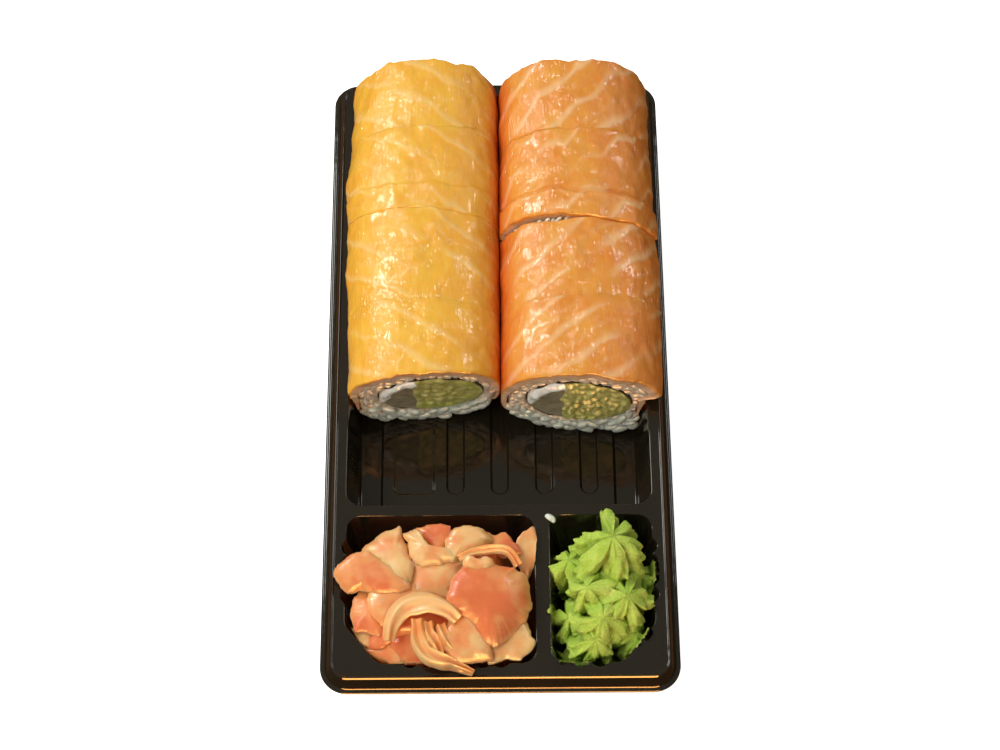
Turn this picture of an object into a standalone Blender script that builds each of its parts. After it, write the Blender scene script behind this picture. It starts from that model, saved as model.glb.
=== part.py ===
"""Takeaway sushi tray: two salmon rolls cut into four pieces each, pickled ginger and wasabi in a black tray.

Frame: +Z up, origin at the bottom centre of the tray, the long side along Y, the small pockets towards -Y.
Sizes below are in millimetres, and the meshes are written in metres.
"""
import math
import random

import bmesh
import bpy
from mathutils import Euler, Vector, geometry, noise

MM = 0.001
GAP = 0.3
SLIVER = 0.004

# Tray, a thermoformed sheet
LIP_LENGTH = 197.8
LIP_WIDTH = 96.0
LIP_CORNER = 7.6
LIP_CORNER_STEPS = 6
SHEET = 0.45
# The sheet's offset at a sharp edge grows with the edge, up to one part in this share
MITRE_LIMIT = 0.6
LIP_Z = 15.0
FLANGE_Z = 18.4
RIDGE_Z = 18.8
FLOOR_Z = SHEET
PANEL_Z = 1.25
# Steps inwards from the lip's edge, and downwards from a pocket's edge: inset, height
RIM_PROFILE = ((0.0, LIP_Z), (1.1, LIP_Z), (2.6, 18.25), (3.0, RIDGE_Z), (3.5, FLANGE_Z))
WALL_PROFILE = ((0.0, FLANGE_Z), (0.5, 17.9), (3.1, 1.7), (4.3, FLOOR_Z))

# Pockets, as seen from above
MAIN_HALF_WIDTH = 42.0
MAIN_FRONT = -45.0
MAIN_BACK = 92.9
MAIN_CORNER = 4.5
SMALL_HALF_WIDTH = 41.7
SMALL_BACK = -47.8
SMALL_FRONT = -92.0
GINGER_RIGHT = 9.7
WASABI_LEFT = 13.5
SMALL_CORNER = 4.0
CHAMFER_X = 9.0
CHAMFER_Y = 11.5
CHAMFER_ROUND = 5.0
POCKET_CORNER_STEPS = 4
SIDE_REACH = 500.0

# Scallops in the outer walls of the small pockets
SCALLOP_PITCH = 4.83
SCALLOP_DEPTH = 1.3
SIDE_SCALLOPS = 4
SIDE_SCALLOP_START = -55.0
GINGER_FRONT_SCALLOPS = 6
GINGER_FRONT_SCALLOP_START = -26.4
WASABI_FRONT_SCALLOPS = 2
WASABI_FRONT_SCALLOP_START = 19.2

# Slanted bars in the long walls, two at the front and two at the back on each side
BAR_TOPS = (-23.4, -18.4, 66.3, 71.3)
BAR_WIDTH = 1.9
BAR_DEPTH = 0.8
BAR_LEAN = 4.6

# Floor of the main pocket: a raised panel with four sunk ribs and a bare label field
PANEL_HALF_WIDTH = 33.1
PANEL_END_MARGIN = 1.2
PANEL_CORNER = 2.5
PANEL_STEP = 0.6
RIB_X = (-12.1, 0.35, 12.95, 25.55)
RIB_WIDTH = 5.3
RIB_ROUND = 2.64
RIB_FRONT = -32.7
RIB_BACK = 78.0
LABEL_X = (-29.6, -17.9)
LABEL_CORNER = 1.8
LABEL_SINK = 0.35

# Rolls: the seam between them, the outer edge and the top of each piece from the front to the back
SEAM_X = 0.8
SEAM_GAP = 0.6
ROLL_BOTTOM = PANEL_Z + GAP
ROLL_ROUNDNESS = 2.35
ROLL_OUTER = {"left": (-42.0, -43.2, -43.6, -41.8), "right": (46.6, 47.2, 45.4, 45.2)}
ROLL_TOP = {"left": (32.4, 32.9, 33.6, 34.2), "right": (33.0, 33.6, 33.9, 34.4)}
# Each cut: its place along Y, its skew from the seam to the outer edge, and its lean at the top
ROLL_CUTS = {
    "left": ((-9.4, -1.6, -1.6), (13.3, 0.4, -0.3), (42.9, 0.6, -0.2), (70.8, -0.5, 0.2), (90.8, 0.0, 3.9)),
    "right": ((-12.2, -1.6, -0.2), (13.3, 0.5, 0.2), (38.4, -0.6, 0.6), (69.5, 0.4, 0.2), (90.7, 0.0, 4.0)),
}
# Above the tray's flange a roll may bulge out over it
BULGE_START = 2.0
BULGE_HEIGHT = 5.5
BULGE_REACH = 6.5
CUT_GAP = {"left": (0.4, 0.4, 0.4), "right": (0.4, 1.3, 0.4)}
SALMON_THICK = 2.8
SALMON_LOW_ANGLE = 24.0
SALMON_EDGE_ROUND = 0.8
SALMON_EDGE_LENGTH = 1.5
SALMON_CROWN = 0.35
SALMON_STEPS = 18
STRIP_LENGTH = 8.3
STRIP_STEP = 0.5
STRIP_RISE = 0.55
STRIP_PIECE = 2
RICE_STEPS = 12
RICE_STEPS_HIDDEN = 5
RICE_SHOULDER = 2.0
RICE_TRANSITION = 9.0
RICE_BUMP = 0.6
NORI_CENTRE = {"left": (-18.8, 17.0), "right": (22.7, 17.3)}
NORI_HALF = {"left": (15.0, 10.4), "right": (15.0, 10.75)}
NORI_THICK = 0.5
NORI_STEPS = 16
FILL_SPLIT = 107.0
CHEESE_END = 190.0
CHEESE_THICK = 2.6
CHEESE_TAIL = 2.8
FILL_STEPS = 5

# Steps of a mound from its foot to its top: share of the way out to the wall, share of its height
MOUND_PROFILE = ((0.96, 0.0), (0.99, 0.45), (0.84, 0.8), (0.45, 0.97))
MOUND_LUMP = 4.0
MOUND_LUMP_SCALE = 0.17
MOUND_STEPS = {"ginger": 20, "wasabi": 16}
MOUND_SEED = {"ginger": 1.0, "wasabi": 5.0}
# The edge of a pocket is found by halving this reach from its middle
POCKET_REACH = 60.0
EDGE_HALVINGS = 24

# Pickled ginger: a core and thin bent slices. Centre, half sizes, turn about X, Y and Z, bend, cup, wave
GINGER_CORE_TOP = 23.5
GINGER_SLICE_THICK = 1.3
GINGER_CLEARANCE = 0.8
GINGER_ROUGHNESS = 0.12
GINGER_ROUGH_SCALE = 0.4
GINGER_SLICES = {
    "big_left": ((-33.2, -62.2, 22.4), (11.3, 10.2), (12, -15, 8), 2.6, 1.2, 0.5),
    "big_pink": ((-2.6, -77.6, 25.0), (11.2, 11.4), (20, 6, -12), 1.6, 1.0, 0.4),
    "arched_cream": ((-20.6, -79.6, 23.6), (9.6, 5.0), (32, 4, -14), 4.2, 0.4, 0.3),
    "back_centre": ((-19.6, -60.6, 21.8), (7.0, 6.4), (34, 14, -24), -2.4, -1.6, 0.5),
    "back_right": ((-8.6, -57.6, 22.4), (8.0, 6.2), (-6, 8, 22), 2.0, 0.8, 0.5),
    "back_arch": ((-0.6, -63.6, 23.6), (8.4, 4.0), (18, 16, -16), 3.4, 0.3, 0.3),
    "standing": ((5.4, -60.0, 17.6), (7.6, 6.6), (84, 8, 84), 0.8, 0.3, 0.4),
    "low_left": ((-32.2, -76.2, 17.4), (7.4, 7.2), (24, -30, 30), 1.8, 1.0, 0.5),
    "low_front": ((-27.4, -84.6, 15.4), (8.4, 5.2), (48, -10, -30), 1.4, 0.8, 0.4),
    "low_right": ((2.0, -84.0, 18.2), (8.6, 6.6), (34, 12, 26), 1.8, 1.0, 0.6),
    "ribbon": ((-12.4, -84.6, 20.0), (5.4, 8.0), (40, 6, 30), 1.6, 0.6, 0.9),
}
GINGER_STRIP = ((-22.4, -80.6, 24.0), (-20.8, -89.0, 21.4), (-15.0, -91.6, 20.6), (-6.2, -94.4, 20.2))
GINGER_STRIP_HALF = 2.6
GINGER_STRIP_TAPER = 0.55
GINGER_STRIP_FOLD = 0.9
GINGER_STRIP_STEPS = 6
GINGER_STRIP_CLEARANCE = 0.9
SLICE_COLS = 4
SLICE_ROWS = 4

# Wasabi: a low bed and piped star shapes. Foot, tip, widest radius, tip radius, fins, turn
WASABI_BED_TOP = 11.0
WASABI_FIN_DEPTH = 0.55
WASABI_FIN_DROOP = 0.18
WASABI_CROWN = 0.8
WASABI_CLEARANCE = 0.6
# Rings of a piped star from its foot to its tip: share of its height, share of its widest radius
STAR_PROFILE = ((0.0, 0.88), (0.45, 1.0), (0.74, 0.92), (0.91, 0.52), (1.0, 0.0))
WASABI_STARS = {
    "peak": ((30.0, -62.5, 5.0), (30.2, -60.6, 30.6), 10.4, 1.6, 6, 20),
    "front_left": ((27.0, -72.0, 6.0), (22.2, -73.6, 25.8), 8.0, 1.6, 6, 60),
    "right_leaf": ((31.0, -73.0, 8.0), (35.6, -77.6, 24.4), 7.6, 1.4, 6, -30),
    "front_centre": ((26.0, -76.0, 6.0), (27.2, -81.4, 24.0), 8.0, 1.4, 6, 10),
    "front_low": ((25.4, -80.0, 5.0), (25.4, -88.0, 19.6), 7.0, 1.2, 6, 40),
    "left_low": ((22.0, -64.0, 4.0), (18.8, -62.4, 21.6), 5.6, 1.2, 5, 15),
    "right_low": ((33.0, -80.0, 4.0), (36.4, -82.8, 16.6), 5.0, 1.2, 5, 50),
}

# A grain of rice left on the bridge between the pockets
STRAY_GRAIN = (13.9, -49.6)
GRAIN_LENGTH = 4.4
GRAIN_WIDTH = 1.7
GRAIN_TURN = -40.0

COLOURS = {
    "tray": ((0.012, 0.012, 0.013), 0.12),
    "salmon": ((0.86, 0.30, 0.07), 0.28),
    "rice": ((0.78, 0.74, 0.66), 0.45),
    "nori": ((0.012, 0.016, 0.010), 0.55),
    "cheese": ((0.90, 0.87, 0.80), 0.45),
    "fish": ((0.30, 0.25, 0.19), 0.40),
    "green": ((0.42, 0.48, 0.12), 0.40),
    "ginger": ((0.88, 0.42, 0.24), 0.30),
    "wasabi": ((0.42, 0.66, 0.08), 0.55),
}


def clear_scene():
    """Remove what the scene holds at the start."""
    for obj in list(bpy.data.objects):
        bpy.data.objects.remove(obj, do_unlink=True)


def make_material(name):
    """Principled material of a food or of the tray."""
    colour, roughness = COLOURS[name]
    material = bpy.data.materials.new(name)
    material.use_nodes = True
    shader = material.node_tree.nodes["Principled BSDF"]
    shader.inputs["Base Color"].default_value = (*colour, 1.0)
    shader.inputs["Roughness"].default_value = roughness
    return material


def face_outwards(mesh_data):
    """Turn all faces of a closed mesh outwards."""
    bmesh.ops.recalc_face_normals(mesh_data, faces=mesh_data.faces[:])
    if mesh_data.calc_volume(signed=True) < 0:
        bmesh.ops.reverse_faces(mesh_data, faces=mesh_data.faces[:])


def add_object(name, mesh_data, material, smooth_angle=40.0):
    """Write a bmesh in millimetres as an object in metres."""
    bmesh.ops.triangulate(mesh_data, faces=mesh_data.faces[:])
    face_outwards(mesh_data)
    bmesh.ops.scale(mesh_data, vec=(MM, MM, MM), verts=mesh_data.verts[:])
    mesh = bpy.data.meshes.new(name)
    mesh_data.to_mesh(mesh)
    mesh_data.free()
    mesh.shade_smooth()
    mesh.set_sharp_from_angle(angle=math.radians(smooth_angle))
    mesh.materials.append(material)
    obj = bpy.data.objects.new(name, mesh)
    bpy.context.scene.collection.objects.link(obj)
    return obj


def bridge(mesh_data, loop_a, loop_b, closed=True):
    """Quads between two loops of equally many vertices."""
    count = len(loop_a)
    for i in range(count if closed else count - 1):
        j = (i + 1) % count
        mesh_data.faces.new((loop_a[i], loop_a[j], loop_b[j], loop_b[i]))


def fill_flat(mesh_data, loops):
    """Triangles over a flat region with an outer loop and any holes."""
    verts = [vert for loop in loops for vert in loop]
    for triangle in geometry.tessellate_polygon([[vert.co for vert in loop] for loop in loops]):
        mesh_data.faces.new([verts[i] for i in triangle])


def interpolate(profile, inset):
    """Height of a profile of inset and height pairs at an inset."""
    for (inset_a, z_a), (inset_b, z_b) in zip(profile, profile[1:]):
        if inset <= inset_b:
            share = (inset - inset_a) / (inset_b - inset_a)
            return z_a + (z_b - z_a) * share
    return profile[-1][1]


def edge_frames(corners):
    """Start, direction and outward normal of each side of a counter-clockwise polygon."""
    frames = []
    for i, start in enumerate(corners):
        direction = (corners[(i + 1) % len(corners)] - start).normalized()
        frames.append((start, direction, Vector((direction.y, -direction.x))))
    return frames


def pocket_outline(pocket, inset, depth_share):
    """Points of a pocket's edge drawn in by inset, with its scallops and bars."""
    corners = pocket["corners"]
    frames = edge_frames(corners)
    count = len(corners)
    moved = []
    for i in range(count):
        _, before_dir, before_normal = frames[i - 1]
        start, here_dir, here_normal = frames[i]
        line_a = start - before_normal * inset
        line_b = start - here_normal * inset
        moved.append(geometry.intersect_line_line_2d(
            line_a - before_dir * SIDE_REACH, line_a + before_dir * SIDE_REACH,
            line_b - here_dir * SIDE_REACH, line_b + here_dir * SIDE_REACH))
    points = []
    for i in range(count):
        before_normal = frames[i - 1][2]
        here_dir, here_normal = frames[i][1], frames[i][2]
        turn = abs(before_normal.angle_signed(here_normal))
        radius = max(pocket["radii"][i] - inset * 0.5, 1.0)
        centre_way = (before_normal + here_normal).normalized()
        centre = moved[i] - centre_way * (radius / math.cos(turn / 2))
        start_angle = math.atan2(before_normal.y, before_normal.x)
        for step in range(POCKET_CORNER_STEPS + 1):
            angle = start_angle + turn * step / POCKET_CORNER_STEPS
            points.append(centre + radius * Vector((math.cos(angle), math.sin(angle))))
        for along, offset in pocket["bumps"].get(i, lambda share: [])(depth_share):
            base = moved[i] + here_dir * (along - moved[i].dot(here_dir))
            points.append(base + here_normal * offset)
    return points


def scallops(first, count, way):
    """Bumps of a row of scallops, from the first one on along a side."""
    def bumps(_depth_share):
        rows = []
        for i in range(count):
            start = way * first + i * SCALLOP_PITCH
            rows.append((start, 0.0))
            for share in (0.3, 0.7):
                rows.append((start + share * SCALLOP_PITCH, SCALLOP_DEPTH * math.sin(math.pi * share)))
        rows.append((way * first + count * SCALLOP_PITCH, 0.0))
        return rows
    return bumps


def slanted_bars(way):
    """Bumps of the slanted bars, which move backwards with depth."""
    def bumps(depth_share):
        rows = []
        for top in sorted(BAR_TOPS, key=lambda y: y * way):
            centre = (top + BAR_LEAN * depth_share) * way
            for share, depth in ((-0.5, 0.0), (-0.3, 1.0), (0.3, 1.0), (0.5, 0.0)):
                rows.append((centre + share * BAR_WIDTH, depth * BAR_DEPTH))
        return rows
    return bumps


def make_pockets():
    """The three pockets: corners counter-clockwise from the front left, radii and side bumps."""
    side = MAIN_HALF_WIDTH
    small = SMALL_HALF_WIDTH
    end_of_scallops = SIDE_SCALLOP_START - SIDE_SCALLOPS * SCALLOP_PITCH
    main = {
        "corners": [Vector(p) for p in (
            (-side, MAIN_FRONT), (side, MAIN_FRONT), (side, MAIN_BACK), (-side, MAIN_BACK))],
        "radii": (MAIN_CORNER,) * 4,
        "bumps": {1: slanted_bars(1), 3: slanted_bars(-1)},
    }
    ginger = {
        "corners": [Vector(p) for p in (
            (-small, SMALL_FRONT + CHAMFER_Y), (-small + CHAMFER_X, SMALL_FRONT), (GINGER_RIGHT, SMALL_FRONT),
            (GINGER_RIGHT, SMALL_BACK), (-small, SMALL_BACK))],
        "radii": (CHAMFER_ROUND, CHAMFER_ROUND, SMALL_CORNER, SMALL_CORNER, SMALL_CORNER),
        "bumps": {1: scallops(GINGER_FRONT_SCALLOP_START, GINGER_FRONT_SCALLOPS, 1),
                  4: scallops(SIDE_SCALLOP_START, SIDE_SCALLOPS, -1)},
    }
    wasabi = {
        "corners": [Vector(p) for p in (
            (WASABI_LEFT, SMALL_FRONT), (small - CHAMFER_X, SMALL_FRONT), (small, SMALL_FRONT + CHAMFER_Y),
            (small, SMALL_BACK), (WASABI_LEFT, SMALL_BACK))],
        "radii": (SMALL_CORNER, CHAMFER_ROUND, CHAMFER_ROUND, SMALL_CORNER, SMALL_CORNER),
        "bumps": {0: scallops(WASABI_FRONT_SCALLOP_START, WASABI_FRONT_SCALLOPS, 1),
                  2: scallops(end_of_scallops, SIDE_SCALLOPS, 1)},
    }
    return {"main": main, "ginger": ginger, "wasabi": wasabi}


def inside_distance(pocket, x, y):
    """How far a point lies inside a pocket's edge, rounded at its corners; negative outside."""
    point = Vector((x, y))
    distances = [(start - point).dot(normal) for start, _, normal in edge_frames(pocket["corners"])]
    nearest = min(distances)
    for i, radius in enumerate(pocket["radii"]):
        before, here = distances[i - 1], distances[i]
        if 0 < before < radius and 0 < here < radius:
            nearest = min(nearest, radius - math.hypot(radius - before, radius - here))
    return nearest


def tray_height(pockets, x, y):
    """Height of the tray's top face under a point near the pockets."""
    for pocket in pockets.values():
        inset = inside_distance(pocket, x, y)
        if inset > 0:
            return interpolate(WALL_PROFILE, inset)
    return RIDGE_Z


def rounded_box(x_range, y_range, radius, steps):
    """Counter-clockwise rounded rectangle."""
    points = []
    left, right = x_range[0] + radius, x_range[1] - radius
    front, back = y_range[0] + radius, y_range[1] - radius
    corners = ((right, front, -90), (right, back, 0), (left, back, 90), (left, front, 180))
    for centre_x, centre_y, start in corners:
        for step in range(steps + 1):
            angle = math.radians(start + 90 * step / steps)
            points.append((centre_x + radius * math.cos(angle), centre_y + radius * math.sin(angle)))
    return points


def add_loop(mesh_data, points, z):
    """Vertices of a loop at one height."""
    return [mesh_data.verts.new((point[0], point[1], z)) for point in points]


def make_tray(pockets, material):
    """The sheet's top face, made 0.45 mm thick downwards."""
    data = bmesh.new()
    rim = None
    for inset, z in RIM_PROFILE:
        half_x, half_y = LIP_WIDTH / 2 - inset, LIP_LENGTH / 2 - inset
        points = rounded_box((-half_x, half_x), (-half_y, half_y), LIP_CORNER - inset, LIP_CORNER_STEPS)
        loop = add_loop(data, points, z)
        if rim:
            bridge(data, rim, loop)
        rim = loop
    edges, floors = [], {}
    depth = WALL_PROFILE[0][1] - WALL_PROFILE[-1][1]
    for name, pocket in pockets.items():
        wall = None
        for inset, z in WALL_PROFILE:
            loop = add_loop(data, pocket_outline(pocket, inset, (FLANGE_Z - z) / depth), z)
            if wall:
                bridge(data, wall, loop)
            else:
                edges.append(loop)
            wall = loop
        floors[name] = wall
    fill_flat(data, [rim] + edges)
    fill_flat(data, [floors["ginger"]])
    fill_flat(data, [floors["wasabi"]])
    make_panel(data, floors["main"])
    bmesh.ops.recalc_face_normals(data, faces=data.faces[:])
    if sum(face.normal.z * face.calc_area() for face in data.faces) < 0:
        bmesh.ops.reverse_faces(data, faces=data.faces[:])
    solidify_sheet(data)
    return add_object("tray", data, material, 30.0)


def make_panel(data, floor):
    """The raised panel on the main floor, with its sunk ribs and label field."""
    floor_inset = WALL_PROFILE[-1][0]
    front = MAIN_FRONT + floor_inset + PANEL_END_MARGIN
    back = MAIN_BACK - floor_inset - PANEL_END_MARGIN
    half = PANEL_HALF_WIDTH
    foot = add_loop(data, rounded_box((-half, half), (front, back), PANEL_CORNER, 3), FLOOR_Z)
    half -= PANEL_STEP
    ends = (front + PANEL_STEP, back - PANEL_STEP)
    top = add_loop(data, rounded_box((-half, half), ends, PANEL_CORNER - PANEL_STEP, 3), PANEL_Z)
    fill_flat(data, [floor, foot])
    bridge(data, foot, top)
    holes = []
    sunk = [((x - RIB_WIDTH / 2, x + RIB_WIDTH / 2), RIB_ROUND, PANEL_Z - FLOOR_Z) for x in RIB_X]
    sunk.append((LABEL_X, LABEL_CORNER, LABEL_SINK))
    for x_range, radius, sink in sunk:
        edge = add_loop(data, rounded_box(x_range, (RIB_FRONT, RIB_BACK), radius, 4), PANEL_Z)
        low_x = (x_range[0] + PANEL_STEP, x_range[1] - PANEL_STEP)
        low_y = (RIB_FRONT + PANEL_STEP, RIB_BACK - PANEL_STEP)
        low = add_loop(data, rounded_box(low_x, low_y, radius - PANEL_STEP, 4), PANEL_Z - sink)
        bridge(data, edge, low)
        fill_flat(data, [low])
        holes.append(edge)
    fill_flat(data, [top] + holes)


def solidify_sheet(data):
    """Give the sheet its thickness below its top face."""
    bmesh.ops.triangulate(data, faces=data.faces[:])
    data.normal_update()
    offsets = {}
    for vert in data.verts:
        push = Vector()
        for face in vert.link_faces:
            push += face.normal * face.calc_area() ** 0.5
        push.normalize()
        least = min(push.dot(face.normal) for face in vert.link_faces)
        offsets[vert] = vert.co - push * (SHEET / max(least, MITRE_LIMIT))
    under = {vert: data.verts.new((co.x, co.y, max(co.z, 0.0))) for vert, co in offsets.items()}
    border = [edge for edge in data.edges if edge.is_boundary]
    top_faces = data.faces[:]
    walls = []
    for edge in border:
        face = edge.link_faces[0]
        for loop in face.loops:
            if loop.edge == edge:
                walls.append((loop.vert, loop.link_loop_next.vert))
    for face in top_faces:
        data.faces.new([under[vert] for vert in reversed(face.verts)])
    for start, end in walls:
        data.faces.new((end, start, under[start], under[end]))


def signed_power(value, power):
    """Power of a value's size, with its sign kept."""
    return math.copysign(abs(value) ** power, value)


def roll_limit(z):
    """Furthest distance from the middle that a roll may reach at a height, given the tray's wall."""
    if z < FLANGE_Z:
        for (inset_a, z_a), (inset_b, z_b) in zip(WALL_PROFILE, WALL_PROFILE[1:]):
            if z >= z_b:
                inset = inset_a + (inset_b - inset_a) * (z_a - z) / (z_a - z_b)
                return MAIN_HALF_WIDTH - inset - 2 * GAP
    share = min(max((z - FLANGE_Z - BULGE_START) / BULGE_HEIGHT, 0.0), 1.0)
    return MAIN_HALF_WIDTH - 2 * GAP + BULGE_REACH * math.sin(math.pi / 2 * share)


class Piece:
    """One cut piece of a roll: its cross-section and its two cut faces."""

    def __init__(self, row, index):
        self.row = row
        self.index = index
        self.way = -1.0 if row == "left" else 1.0
        seam = SEAM_X + self.way * SEAM_GAP / 2
        outer = ROLL_OUTER[row][index]
        self.centre_x = (seam + outer) / 2
        self.half_x = abs(outer - seam) / 2
        self.centre_z = (ROLL_BOTTOM + ROLL_TOP[row][index]) / 2
        self.half_z = (ROLL_TOP[row][index] - ROLL_BOTTOM) / 2
        gaps = CUT_GAP[row]
        self.front = ROLL_CUTS[row][index]
        self.back = ROLL_CUTS[row][index + 1]
        self.front_gap = gaps[index - 1] / 2 if index > 0 else 0.0
        self.back_gap = gaps[index] / 2 if index < len(gaps) else 0.0

    def section(self, degrees, inset):
        """Point of the cross-section, drawn in by inset; 0 degrees is towards +X, 90 is the top."""
        angle = math.radians(degrees)
        power = 2 / ROLL_ROUNDNESS
        x = self.centre_x + (self.half_x - inset) * signed_power(math.cos(angle), power)
        z = self.centre_z + (self.half_z - inset) * signed_power(math.sin(angle), power)
        limit = roll_limit(z) - max(inset, 0.0)
        outwards = max(x * self.way, SEAM_X * self.way + SEAM_GAP / 2)
        return self.way * min(outwards, limit), z

    def cut_y(self, cut, x, z):
        """Y of a cut face at a place in the cross-section."""
        place, skew, lean = cut
        outwards = (x - self.centre_x) * self.way / self.half_x
        upwards = (z - self.centre_z) / self.half_z
        return place + skew * outwards + lean * upwards

    def place(self, x, z, share, from_end=0.0):
        """Point at a share of the piece's length, or a distance in from its front or back face."""
        front = self.cut_y(self.front, x, z) + self.front_gap
        back = self.cut_y(self.back, x, z) - self.back_gap
        y = front + (back - front) * share
        return (x, y + from_end, z)


def make_salmon(piece, name, material):
    """The slice of salmon over the top and sides, a bent strip rounded at its cut edges."""
    data = bmesh.new()
    angles = salmon_angles()
    rows = [(0.0, 0.0, SALMON_EDGE_ROUND), (0.0, SALMON_EDGE_LENGTH, 0.0), (0.5, 0.0, -SALMON_CROWN),
            (1.0, -SALMON_EDGE_LENGTH, 0.0), (1.0, 0.0, SALMON_EDGE_ROUND)]
    if piece.index == STRIP_PIECE:
        rows = [(0.0, 0.0, SALMON_EDGE_ROUND - STRIP_RISE), (0.0, SALMON_EDGE_LENGTH, -STRIP_RISE),
                (0.0, STRIP_LENGTH - STRIP_STEP, -STRIP_RISE), (0.0, STRIP_LENGTH, 0.0), *rows[3:]]
    outer = []
    for share, from_end, inset in rows:
        outer.append([data.verts.new(piece.place(*piece.section(a, inset), share, from_end)) for a in angles])
    inner = []
    for share in (0.0, 1.0):
        inner.append([data.verts.new(piece.place(*piece.section(a, SALMON_THICK), share)) for a in angles])
    for row_a, row_b in zip(outer, outer[1:]):
        bridge(data, row_a, row_b, closed=False)
    bridge(data, inner[1], inner[0], closed=False)
    bridge(data, inner[0], outer[0], closed=False)
    bridge(data, outer[-1], inner[1], closed=False)
    for side in (0, -1):
        data.faces.new([row[side] for row in outer] + [inner[1][side], inner[0][side]])
    return add_object(name, data, material, 50.0)


def salmon_angles():
    """Angles of the salmon's cross-section, from its low edge on the right to the one on the left."""
    span = 180 + 2 * SALMON_LOW_ANGLE
    return [span * i / SALMON_STEPS - SALMON_LOW_ANGLE for i in range(SALMON_STEPS + 1)]


def rice_low_angles(steps):
    """Angles of the rice's outline below the salmon, where it comes out to the roll's own outline."""
    start = 180 + SALMON_LOW_ANGLE + RICE_SHOULDER
    first = start + RICE_TRANSITION
    span = 540 - 2 * first
    return [start, *(first + span * i / steps for i in range(steps + 1)), 540 - start]


def rice_inset(degrees):
    """How far the rice lies in from the roll's outline at an angle from -90 to 360."""
    low = abs(degrees - 270) if degrees > 90 else abs(degrees + 90)
    beyond = 90 - SALMON_LOW_ANGLE - RICE_SHOULDER - low
    return (SALMON_THICK + GAP) * (1 - min(max(beyond / RICE_TRANSITION, 0.0), 1.0))


def nori_point(piece, degrees, inset):
    """Point of the seaweed ring's outline, drawn in by inset."""
    centre_x, centre_z = NORI_CENTRE[piece.row]
    half_x, half_z = NORI_HALF[piece.row]
    angle = math.radians(degrees)
    return centre_x + (half_x - inset) * math.cos(angle), centre_z + (half_z - inset) * math.sin(angle)


def make_rice(piece, name, material):
    """The rice between salmon and seaweed, with bumps of a grain's size on faces that show."""
    data = bmesh.new()
    draw = random.Random(name)
    shows = (piece.index == 0, piece.index == len(ROLL_CUTS[piece.row]) - 2)
    angles = salmon_angles() + rice_low_angles(RICE_STEPS if any(shows) else RICE_STEPS_HIDDEN)

    def ring(share, blend, bump, rough):
        verts = []
        for degrees in angles:
            lump = draw.uniform(0.0, rough) if rice_inset(degrees) < 0.1 else 0.0
            outer = piece.section(degrees, rice_inset(degrees) + lump)
            inner = nori_point(piece, degrees, -GAP)
            x = outer[0] + (inner[0] - outer[0]) * blend
            z = outer[1] + (inner[1] - outer[1]) * blend
            verts.append(data.verts.new(piece.place(x, z, share, draw.uniform(-bump, bump))))
        return verts

    loops = []
    front_rows = ((0.04, 0.3), (0.35, RICE_BUMP), (0.7, RICE_BUMP)) if shows[0] else ((0.0, 0.0),)
    back_rows = ((0.7, RICE_BUMP), (0.35, RICE_BUMP), (0.04, 0.3)) if shows[1] else ((0.0, 0.0),)
    loops.append(ring(0.0, 1.0, 0.0, 0.0))
    for blend, bump in reversed(front_rows):
        loops.append(ring(0.0, blend, bump, 0.9 if shows[0] else 0.0))
    for blend, bump in reversed(back_rows):
        loops.append(ring(1.0, blend, bump, 0.9 if shows[1] else 0.0))
    loops.append(ring(1.0, 1.0, 0.0, 0.0))
    for loop_a, loop_b in zip(loops, loops[1:] + loops[:1]):
        bridge(data, loop_a, loop_b)
    return add_object(name, data, material, 60.0)


def make_nori(piece, name, material):
    """The thin ring of seaweed round the filling."""
    data = bmesh.new()
    angles = [360 * i / NORI_STEPS for i in range(NORI_STEPS)]
    loops = []
    for share, inset in ((0.0, NORI_THICK), (0.0, 0.0), (1.0, 0.0), (1.0, NORI_THICK)):
        loops.append([data.verts.new(piece.place(*nori_point(piece, a, inset), share)) for a in angles])
    for loop_a, loop_b in zip(loops, loops[1:] + loops[:1]):
        bridge(data, loop_a, loop_b)
    return add_object(name, data, material, 50.0)


def arc(piece, start, end, inset):
    """Points along the filling's outline between two angles."""
    return [nori_point(piece, start + (end - start) * i / FILL_STEPS, inset) for i in range(FILL_STEPS + 1)]


def fill_outlines(piece):
    """Outlines of the green, fish and cheese parts of the filling, side by side inside the seaweed."""
    half = NORI_HALF[piece.row][0]
    skin = NORI_THICK + GAP
    under_cheese = skin + CHEESE_THICK
    inner = under_cheese + GAP
    left_of_green = (half - skin) * math.cos(math.radians(FILL_SPLIT)) - GAP

    def start_angle(inset):
        return math.degrees(math.acos(left_of_green / (half - inset)))

    green = arc(piece, -FILL_SPLIT, 0, skin)[:-1] + arc(piece, 0, FILL_SPLIT, skin)
    cheese = arc(piece, start_angle(skin), CHEESE_END, skin)
    cheese += arc(piece, CHEESE_END, start_angle(under_cheese), under_cheese)
    fish = arc(piece, start_angle(inner), CHEESE_END, inner)
    fish += arc(piece, CHEESE_END + CHEESE_TAIL, 360 - start_angle(skin), skin)
    return {"green": green, "cheese": cheese, "fish": fish}


def make_filling(piece, outline, name, material):
    """One part of the filling, which runs through the piece."""
    data = bmesh.new()
    front = [data.verts.new(piece.place(x, z, 0.0)) for x, z in outline]
    back = [data.verts.new(piece.place(x, z, 1.0)) for x, z in outline]
    bridge(data, front, back)
    data.faces.new(front)
    data.faces.new(list(reversed(back)))
    return add_object(name, data, material, 40.0)


def make_rolls(materials):
    """Both rolls, four cut pieces each, six layers a piece."""
    for row, cuts in ROLL_CUTS.items():
        for index in range(len(cuts) - 1):
            piece = Piece(row, index)
            label = f"{row}_{index + 1}"
            make_salmon(piece, f"salmon_{label}", materials["salmon"])
            make_rice(piece, f"rice_{label}", materials["rice"])
            make_nori(piece, f"nori_{label}", materials["nori"])
            for part, outline in fill_outlines(piece).items():
                make_filling(piece, outline, f"{part}_{label}", materials[part])


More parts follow.
